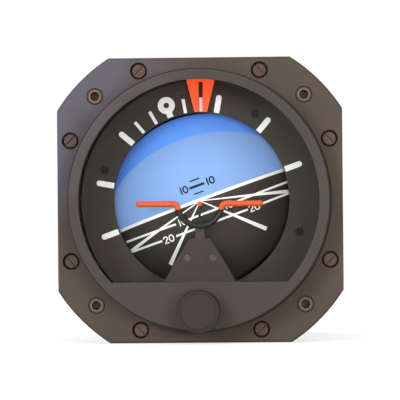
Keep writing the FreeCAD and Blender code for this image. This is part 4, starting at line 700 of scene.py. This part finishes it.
def paint_on_ball_tree():
    """Pushes a flat sheet back on to a ball and thickens it outwards."""
    tree, source = tree_with("Paint on the ball", Radius="Float", Thickness="Float")
    where = node(tree, "GeometryNodeInputPosition").outputs[0]
    flat = node(tree, "ShaderNodeSeparateXYZ", in_0=where).outputs
    across, up, whole = (maths(tree, "MULTIPLY", value, value)
                         for value in (flat["X"], flat["Z"], source["Radius"]))
    left = maths(tree, "SUBTRACT", maths(tree, "SUBTRACT", whole, across), up)
    depth = maths(tree, "SQRT", maths(tree, "MAXIMUM", left, 0.0))
    back = maths(tree, "MULTIPLY", depth, -1.0)
    place = node(tree, "ShaderNodeCombineXYZ", in_X=flat["X"], in_Y=back, in_Z=flat["Z"]).outputs[0]
    move = node(tree, "GeometryNodeSetPosition", in_Geometry=source["Geometry"], in_Position=place)
    thicken = node(tree, "GeometryNodeExtrudeMesh", in_Individual=False, in_Mesh=move.outputs[0],
                   in_Offset_Scale=source["Thickness"])
    flip = node(tree, "GeometryNodeFlipFaces", in_0=move.outputs[0])
    both = node(tree, "GeometryNodeJoinGeometry", in_0=thicken.outputs["Mesh"])
    feed(tree, both, in_0=flip.outputs[0])
    merge = node(tree, "GeometryNodeMergeByDistance", in_Geometry=both.outputs[0],
                 in_Distance=merge_distance)
    return end_tree(tree, merge.outputs[0], source)


PAINT_ON_BALL = paint_on_ball_tree()
print("paint tree's nodes:", len(PAINT_ON_BALL.nodes))

# %% [markdown]
# ## From a tree to a plain piece
# A tree works on a carrier object through a modifier. Its inputs are set by their identifiers,
# the result is copied as a plain mesh, and the carrier is thrown away.

# %% Running a tree
join_distance = 0.0005 * MM


def points_mesh(name, places):
    """A mesh of loose points."""
    mesh = bpy.data.meshes.new(name)
    mesh.from_pydata(places, [], [])
    return mesh


def grown(name, mesh, tree, finish, place=None, **sizes):
    """Runs a tree on a mesh and keeps the result as a plain mesh object at the origin."""
    carrier = bpy.data.objects.new(name + "_carrier", mesh)
    bpy.context.scene.collection.objects.link(carrier)
    modifier = carrier.modifiers.new("nodes", "NODES")
    modifier.node_group = tree
    sockets = {item.name: item.identifier for item in tree.interface.items_tree if item.in_out == "INPUT"}
    for label, value in {**sizes, "Material": FINISHES[finish]}.items():
        modifier[sockets[label]] = value
    bpy.context.view_layer.update()
    evaluated = carrier.evaluated_get(bpy.context.evaluated_depsgraph_get())
    result = bpy.data.meshes.new_from_object(evaluated)
    bpy.data.objects.remove(carrier)
    if place is not None:
        result.transform(place)
    piece = bpy.data.objects.new(name, result)
    bpy.context.scene.collection.objects.link(piece)
    return piece


def sheet_mesh(name, draw):
    """A mesh from a function that draws on a bmesh; its faces are turned to the viewer."""
    sheet = bmesh.new()
    draw(sheet)
    bmesh.ops.remove_doubles(sheet, verts=sheet.verts, dist=join_distance)
    bmesh.ops.recalc_face_normals(sheet, faces=sheet.faces)
    for face in sheet.faces:
        face.normal_update()
        if face.normal.y > 0:
            face.normal_flip()
    mesh = bpy.data.meshes.new(name)
    sheet.to_mesh(mesh)
    sheet.free()
    return mesh


print("sheets join points nearer than mm:", join_distance / MM)

# %% [markdown]
# ## What is printed on the ball
# Above the horizon stand three short black bars, the middle one marked 10. Below it are white
# level bars for ten and twenty degrees down, broken for their numbers, and four white lines that
# spread from the middle of the horizon like furrows in a field, so that the ground looks deep.
# Lengths are millimetres across and above the centre of the ball, on the upright ball. Prints
# that cross lie a hundredth of a millimetre apart, so that no two faces share one place.

# %% Ball marks
film = 0.06 * MM
layer = 0.01 * MM
figure_height, sky_figure_line, ground_figure_line = 1.95, 0.46, 0.36
horizon_reach, horizon_width = 28.0, 0.91
ground_ten, ground_twenty = -4.3, -7.66
level_width = 0.62
level_bend, level_bend_from, level_bend_full = 0.5, 13.0, 26.0
# Each sky bar is its left end, right end, height and width; each ground level is its bars' ends.
SKY_BARS = ((-0.95, 2.0, 2.13, 0.4), (-1.75, 3.0, 4.26, 0.72), (-1.0, 2.1, 6.2, 0.4))
GROUND_BARS = {ground_ten: ((-25.9, -9.3), (-5.3, 5.3), (9.5, 26.6)),
               ground_twenty: ((-25.6, -15.1), (-10.5, 12.4), (16.8, 25.9))}
# A number stands on both sides: its text, the middle of the pair, its distance from it, its height.
SKY_NUMBERS = (("10", 0.8, 4.2, 4.4),)
GROUND_NUMBERS = (("10", 0.2, 7.4, ground_ten), ("20", 0.7, 13.7, ground_twenty))
# A furrow is where it ends and how wide it is there.
furrow_start, furrow_start_width = (0, -0.3), 0.22
FURROWS = (((-25.6, -6.9), 1.0), ((25.6, -6.6), 1.0), ((-15.5, -15.0), 1.25), ((15.5, -15.0), 1.25))
print("level bars below the horizon:", sum(len(bars) for bars in GROUND_BARS.values()))

# %% [markdown]
# ## Printing the ball
# Each drawing below puts its strips and figures on a flat sheet, and `ball_print` lays that sheet
# on the ball and lets it ride with the ball.

# %% Ball prints
def draw_horizon(sheet):
    strip(sheet, (-horizon_reach, 0), (horizon_reach, 0), horizon_width)


def draw_numbers(sheet, numbers, width):
    for side in (-1, 1):
        for text, middle, distance, height in numbers:
            number(sheet, text, middle + side * distance, height, figure_height, width)


def draw_sky_marks(sheet):
    for left, right, height, width in SKY_BARS:
        strip(sheet, (left, height), (right, height), width)
    draw_numbers(sheet, SKY_NUMBERS, sky_figure_line)


def level_lift(x):
    """A bar of equal height on the ball seems to bend up a little towards its far end."""
    return level_bend * (abs(x) / level_bend_full) ** 2 if abs(x) > level_bend_from else 0.0


def draw_ground_bars(sheet):
    for height, bars in GROUND_BARS.items():
        for start, end in bars:
            strip(sheet, (start, height + level_lift(start)), (end, height + level_lift(end)), level_width)


def draw_ground_numbers(sheet):
    draw_numbers(sheet, GROUND_NUMBERS, ground_figure_line)


def ball_print(name, draw, finish, layers=0):
    """Prints a drawing on the ball, a number of layers above the lowest."""
    piece = grown(name, sheet_mesh(name, draw), PAINT_ON_BALL, finish, TO_BALL,
                  Radius=ball_radius + layers * layer, Thickness=film)
    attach(piece, "horizon")
    return piece


ball_print("horizon_line", draw_horizon, "mark_white", 2)
ball_print("sky_marks", draw_sky_marks, "mark_black")
ball_print("ground_bars", draw_ground_bars, "mark_white")
ball_print("ground_numbers", draw_ground_numbers, "mark_white")
for index, (end, width) in enumerate(FURROWS):
    ball_print(f"ground_furrow_{index + 1}",
               lambda sheet: strip(sheet, furrow_start, end, furrow_start_width, width),
               "mark_white", index % 2 + 1)
print("ball prints made:", 4 + len(FURROWS))

# %% [markdown]
# ## A tree that repeats a piece
# Dial marks and the ribs of a knob are one piece set down many times. The tree below takes a mesh
# of loose points, each with a `turn` about the instrument's axis, and sets the chosen piece down
# on every point. The same tree serves them all, because only the piece and the points change.

# %% Geometry Nodes: repeat a piece
def set_on_points(tree, source, geometry, **settings):
    """Sets a piece down on every point that comes in, and ends the tree."""
    points = node(tree, "GeometryNodeMeshToPoints", in_0=source["Geometry"])
    place = node(tree, "GeometryNodeInstanceOnPoints", in_Points=points.outputs[0],
                 in_Instance=geometry, **settings)
    return end_tree(tree, place.outputs[0], source)


def repeat_tree():
    tree, source = tree_with("Repeat a piece", Piece="Object", Scale="Float")
    piece = node(tree, "GeometryNodeObjectInfo", in_0=source["Piece"]).outputs["Geometry"]
    named = node(tree, "GeometryNodeInputNamedAttribute", data_type="FLOAT", in_Name="turn")
    turn = node(tree, "ShaderNodeCombineXYZ", in_Y=named.outputs["Attribute"]).outputs[0]
    return set_on_points(tree, source, piece, in_Rotation=turn, in_Scale=source["Scale"])


REPEAT = repeat_tree()


def repeated(name, pattern, spots, finish, body, place=None):
    """Sets a pattern mesh down on spots, each an (x, y, z, turn), as one piece on a body."""
    points = points_mesh(name + "_spots", [spot[:3] for spot in spots])
    turns = points.attributes.new("turn", "FLOAT", "POINT")
    turns.data.foreach_set("value", [spot[3] for spot in spots])
    model = bpy.data.objects.new(name + "_pattern", pattern)
    bpy.context.scene.collection.objects.link(model)
    piece = grown(name, points, REPEAT, finish, place, Piece=model, Scale=1.0)
    bpy.data.objects.remove(model)
    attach(piece, body)
    return piece


print("repeat tree's nodes:", len(REPEAT.nodes))

# %% [markdown]
# ## The marks of the bank dial
# The dial turns with the gimbal and shows the bank at the orange index. Long round-ended bars
# stand at 30, 60 and 90 degrees, thin square ones at 10 and 20, and a ring on a short stem marks
# zero. Each kind is drawn once, given the thickness of a film, and repeated round the centre.

# %% Dial marks
mark_film = 0.07 * MM
mark_foot = 27.0
thick_mark_tops, thick_mark_width = (31.6, 30.0, 28.4), 1.7
thin_mark_top, thin_mark_width = 31.3, 0.95
zero_ring_height, zero_ring_radius, zero_ring_line = 30.8, 1.72, 1.72
zero_stem_top, zero_stem_width = 28.45, 1.8


def film_mesh(name, draw):
    """A flat drawing given a thickness towards the viewer, closed on all sides."""
    mesh = sheet_mesh(name, draw)
    solid = bmesh.new()
    solid.from_mesh(mesh)
    raised = bmesh.ops.extrude_face_region(solid, geom=solid.faces[:], use_keep_orig=True)["geom"]
    moved = [item for item in raised if isinstance(item, bmesh.types.BMVert)]
    bmesh.ops.translate(solid, verts=moved, vec=(0, -mark_film, 0))
    bmesh.ops.recalc_face_normals(solid, faces=solid.faces)
    solid.to_mesh(mesh)
    solid.free()
    return mesh


def draw_thick_mark(sheet):
    points = [(0, height) for height in (*thick_mark_tops, mark_foot)]
    stroke(sheet, points, thick_mark_width, square_end=True)


def draw_thin_mark(sheet):
    strip(sheet, (0, mark_foot), (0, thin_mark_top), thin_mark_width)


def draw_zero_ring(sheet):
    ring = arc((0, zero_ring_height), zero_ring_radius, zero_ring_radius, 0, 352, 44)
    stroke(sheet, ring, zero_ring_line, closed=True)


def draw_zero_stem(sheet):
    strip(sheet, (0, mark_foot), (0, zero_stem_top), zero_stem_width)


for name, draw, angles in (("thick_bank_marks", draw_thick_mark, (-90, -60, -30, 30, 60, 90)),
                           ("thin_bank_marks", draw_thin_mark, (-20, -10, 10, 20)),
                           ("zero_bank_ring", draw_zero_ring, (0,)),
                           ("zero_bank_stem", draw_zero_stem, (0,))):
    spots = [(0, 0, 0, math.radians(angle)) for angle in angles]
    repeated(name, film_mesh(name, draw), spots, "mark_white", "gimbal", TO_DIAL)
    print(name + ":", len(spots))

# %% [markdown]
# ## Threads
# A thread is a ridge wound along a spiral. The tree makes a spiral curve, sweeps a small
# three-sided profile along it, lays it along the instrument's axis and sets a copy on every
# point it is given, so four panel inserts and one pipe port need nothing but different numbers.

# %% Geometry Nodes: thread
def circle_path(tree, radius, points):
    """A round curve with a number of points."""
    return node(tree, "GeometryNodeCurvePrimitiveCircle", in_Resolution=points, in_Radius=radius).outputs[0]


def swept(tree, path, profile, turn, capped):
    """A profile swept along a path, then turned about X so that it lies along Y."""
    sweep = node(tree, "GeometryNodeCurveToMesh", in_Curve=path, in_Profile_Curve=profile,
                 in_Fill_Caps=capped)
    lay = node(tree, "GeometryNodeTransform", in_Geometry=sweep.outputs[0], in_Rotation=(turn, 0, 0))
    return lay.outputs[0]


def thread_tree():
    tree, source = tree_with("Thread", Radius="Float", Length="Float", Turns="Float", Ridge="Float")
    spiral = node(tree, "GeometryNodeCurveSpiral", in_Resolution=28, in_Rotations=source["Turns"],
                  in_Start_Radius=source["Radius"], in_End_Radius=source["Radius"],
                  in_Height=source["Length"])
    ridge = circle_path(tree, source["Ridge"], 3)
    return set_on_points(tree, source, swept(tree, spiral.outputs[0], ridge, -math.pi / 2, True))


THREAD = thread_tree()


def threads(name, spots, radius, length, pitch, ridge, finish):
    """Cuts the same thread at every spot, each the start of a bore along +Y."""
    piece = grown(name, points_mesh(name + "_spots", spots), THREAD, finish,
                  Radius=radius, Length=length, Turns=length / pitch, Ridge=ridge)
    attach(piece, "case")
    return len(piece.data.polygons)


inch = 25.4 * MM
insert_pitch, port_pitch = inch / 32, inch / 18
insert_thread_start, insert_thread_length, insert_ridge = 0.35 * MM, 3.9 * MM, 0.16 * MM
port_thread_start, port_thread_length, port_ridge = 9.6 * MM, 9.2 * MM, 0.42 * MM
insert_thread_sink, port_thread_sink = 0.03 * MM, 0.06 * MM
screw_half = MOUNTS["panel_bolts"]["dims"]["spacing_x_mm"] * MM / 2
insert_places = [(x, z) for x in (-screw_half, screw_half) for z in (-screw_half, screw_half)]
print("insert thread faces:", threads(
    "insert_threads", [(x, insert_thread_start, z) for x, z in insert_places],
    insert_bore + insert_thread_sink, insert_thread_length, insert_pitch, insert_ridge, "insert_brass"))
port_place = Vector(MOUNTS["vacuum_port"]["pos_m"])
port_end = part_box("vacuum_port")[1].y
port_bore = MOUNTS["vacuum_port"]["dims"]["r_mm"] * MM
print("port thread faces:", threads(
    "port_thread", [(port_place.x, port_end - port_thread_start, port_place.z)],
    port_bore + port_thread_sink, port_thread_length, port_pitch, port_ridge, "brass"))

# %% [markdown]
# ## Cords of painted shade
# A thin dark line runs round the ring where it enters the flange, and a finer one round each of
# the four inserts: dark cords laid in the joints as painted shade, the shadow in each gap. Each is a round
# cord laid in the gap, made by sweeping a small circle along a large one, then set at its places.

# %% Geometry Nodes: bead
def bead_tree():
    tree, source = tree_with("Bead", Radius="Float", Cord="Float")
    path = circle_path(tree, source["Radius"], 180)
    cord = circle_path(tree, source["Cord"], 10)
    return set_on_points(tree, source, swept(tree, path, cord, math.pi / 2, False))


BEAD = bead_tree()


def beads(name, places, radius, cord):
    """One bead round each place, lying on the flange's face."""
    piece = grown(name, points_mesh(name + "_places", places), BEAD, "gap_shade_black",
                  Radius=radius, Cord=cord)
    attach(piece, "case")
    return len(piece.data.polygons)


ring_bead, ring_bead_gap, ring_bead_rise = 0.24 * MM, 0.12 * MM, 0.04 * MM
insert_bead, insert_bead_gap, insert_bead_rise = 0.16 * MM, 0.05 * MM, 0.02 * MM
print("bead faces:",
      beads("sealing_bead", [(0, -ring_bead_rise, 0)], ring_side + ring_bead_gap, ring_bead),
      beads("insert_beads", [(x, -insert_bead_rise, z) for x, z in insert_places],
            insert_rim + insert_bead_gap, insert_bead))

# %% [markdown]
# ## Knurled side of the knob
# The knob turns under a fingertip, so its side carries fine straight ribs while its face stays
# plain. One rib is a long box with a pointed top, and the repeat tree sets it round the knob.

# %% Knob ribs
knob_near, knob_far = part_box("adjust_knob")
knob_radius = (knob_far.x - knob_near.x) / 2
knob_middle = (knob_near.z + knob_far.z) / 2
rib_count = 72
rib_half, rib_height, rib_sink = 0.16 * MM, 0.14 * MM, 0.05 * MM
rib_from_face, rib_from_back = 1.1 * MM, 0.9 * MM


def rib_mesh():
    """A prism along Y that stands on the knob's side at the top."""
    base = knob_radius - rib_sink
    corners = [(-rib_half, base), (0, knob_radius + rib_height), (rib_half, base)]
    verts = [(x, y, z) for y in (knob_near.y + rib_from_face, knob_far.y - rib_from_back)
             for x, z in corners]
    faces = [(0, 1, 2), (5, 4, 3), (0, 3, 4, 1), (1, 4, 5, 2), (2, 5, 3, 0)]
    mesh = bpy.data.meshes.new("rib")
    mesh.from_pydata(verts, [], faces)
    solid = bmesh.new()
    solid.from_mesh(mesh)
    bmesh.ops.recalc_face_normals(solid, faces=solid.faces)
    solid.to_mesh(mesh)
    solid.free()
    return mesh


rib_spots = [(0, 0, 0, 2 * math.pi * index / rib_count) for index in range(rib_count)]
repeated("knob_ribs", rib_mesh(), rib_spots, "knob_black", "knob",
         Matrix.Translation((0, 0, knob_middle)))
print("knob ribs:", rib_count)

# %% [markdown]
# ## The floor and the light
# A white floor and a white world stand for a light tent. Where a camera ray, a mirror ray or a
# ray through glass meets them they are plain white. For the light that falls on the object the
# world is a quarter brighter, as a tent's lit walls are, and the floor gives back less, so that
# white paint keeps its detail.

# %% World and floor
ambient_level = 1.25
ambient_colour = (1.0, 0.985, 0.97, 1.0)
floor_size = 3.0
floor_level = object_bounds()[0].z
floor_grey = (0.46, 0.46, 0.46, 1.0)
floor_glow = 0.62


def white_for_eyes(tree, working, seen):
    """Chooses the seen shader for camera, mirror and glass rays, and else the working one."""
    ray = node(tree, "ShaderNodeLightPath").outputs
    looking = maths(tree, "MAXIMUM", ray["Is Camera Ray"], ray["Is Glossy Ray"])
    looking = maths(tree, "MAXIMUM", looking, ray["Is Transmission Ray"])
    mix = node(tree, "ShaderNodeMixShader", in_0=looking, in_1=working.outputs[0], in_2=seen.outputs[0])
    return mix.outputs[0]


world = bpy.data.worlds.new("light_tent")
sky_tree = empty_tree(world)
soft = node(sky_tree, "ShaderNodeBackground", in_0=ambient_colour, in_Strength=ambient_level)
white = node(sky_tree, "ShaderNodeBackground", in_0=(1.0, 1.0, 1.0, 1.0), in_Strength=1.0)
node(sky_tree, "ShaderNodeOutputWorld", in_0=white_for_eyes(sky_tree, soft, white))
bpy.context.scene.world = world

floor_material = bpy.data.materials.new("floor_white")
floor_tree = empty_tree(floor_material)
card = node(floor_tree, "ShaderNodeBsdfDiffuse", in_0=floor_grey)
glow = node(floor_tree, "ShaderNodeEmission", in_Strength=floor_glow)
lit = node(floor_tree, "ShaderNodeAddShader", in_0=card.outputs[0], in_1=glow.outputs[0])
node(floor_tree, "ShaderNodeOutputMaterial", in_0=white_for_eyes(floor_tree, card, lit))

floor_mesh = bpy.data.meshes.new("floor")
half = floor_size / 2
corners = [(x * half, y * half, floor_level) for x, y in ((-1, -1), (1, -1), (1, 1), (-1, 1))]
floor_mesh.from_pydata(corners, [], [(0, 1, 2, 3)])
floor_mesh.materials.append(floor_material)
floor = bpy.data.objects.new("floor", floor_mesh)
bpy.context.scene.collection.objects.link(floor)
print("floor level mm:", round(floor_level / MM, 2))

# %% [markdown]
# ## Two soft lamps
# A cool lamp at the upper left models the forms. A warm one at the right, level with the dial,
# reaches into the deep dial from the other side. Both are square area lamps, like soft boxes.

# %% Lamps
lamp_size = 0.3


def lamp(name, place, power, colour):
    """A square soft lamp that faces the dial."""
    data = bpy.data.lights.new(name, "AREA")
    data.size = lamp_size
    data.energy = power
    data.color = colour
    made = bpy.data.objects.new(name, data)
    made.location = place
    made.rotation_mode = "QUATERNION"
    made.rotation_quaternion = (-Vector(place)).to_track_quat("-Z", "Y")
    bpy.context.scene.collection.objects.link(made)


lamp("key_lamp", (-0.5, -1.0, 0.28), 3.9, (0.86, 0.93, 1.0))
lamp("front_lamp", (0.46, -1.0, -0.02), 4.8, (1.0, 0.94, 0.88))
print("studio ready")
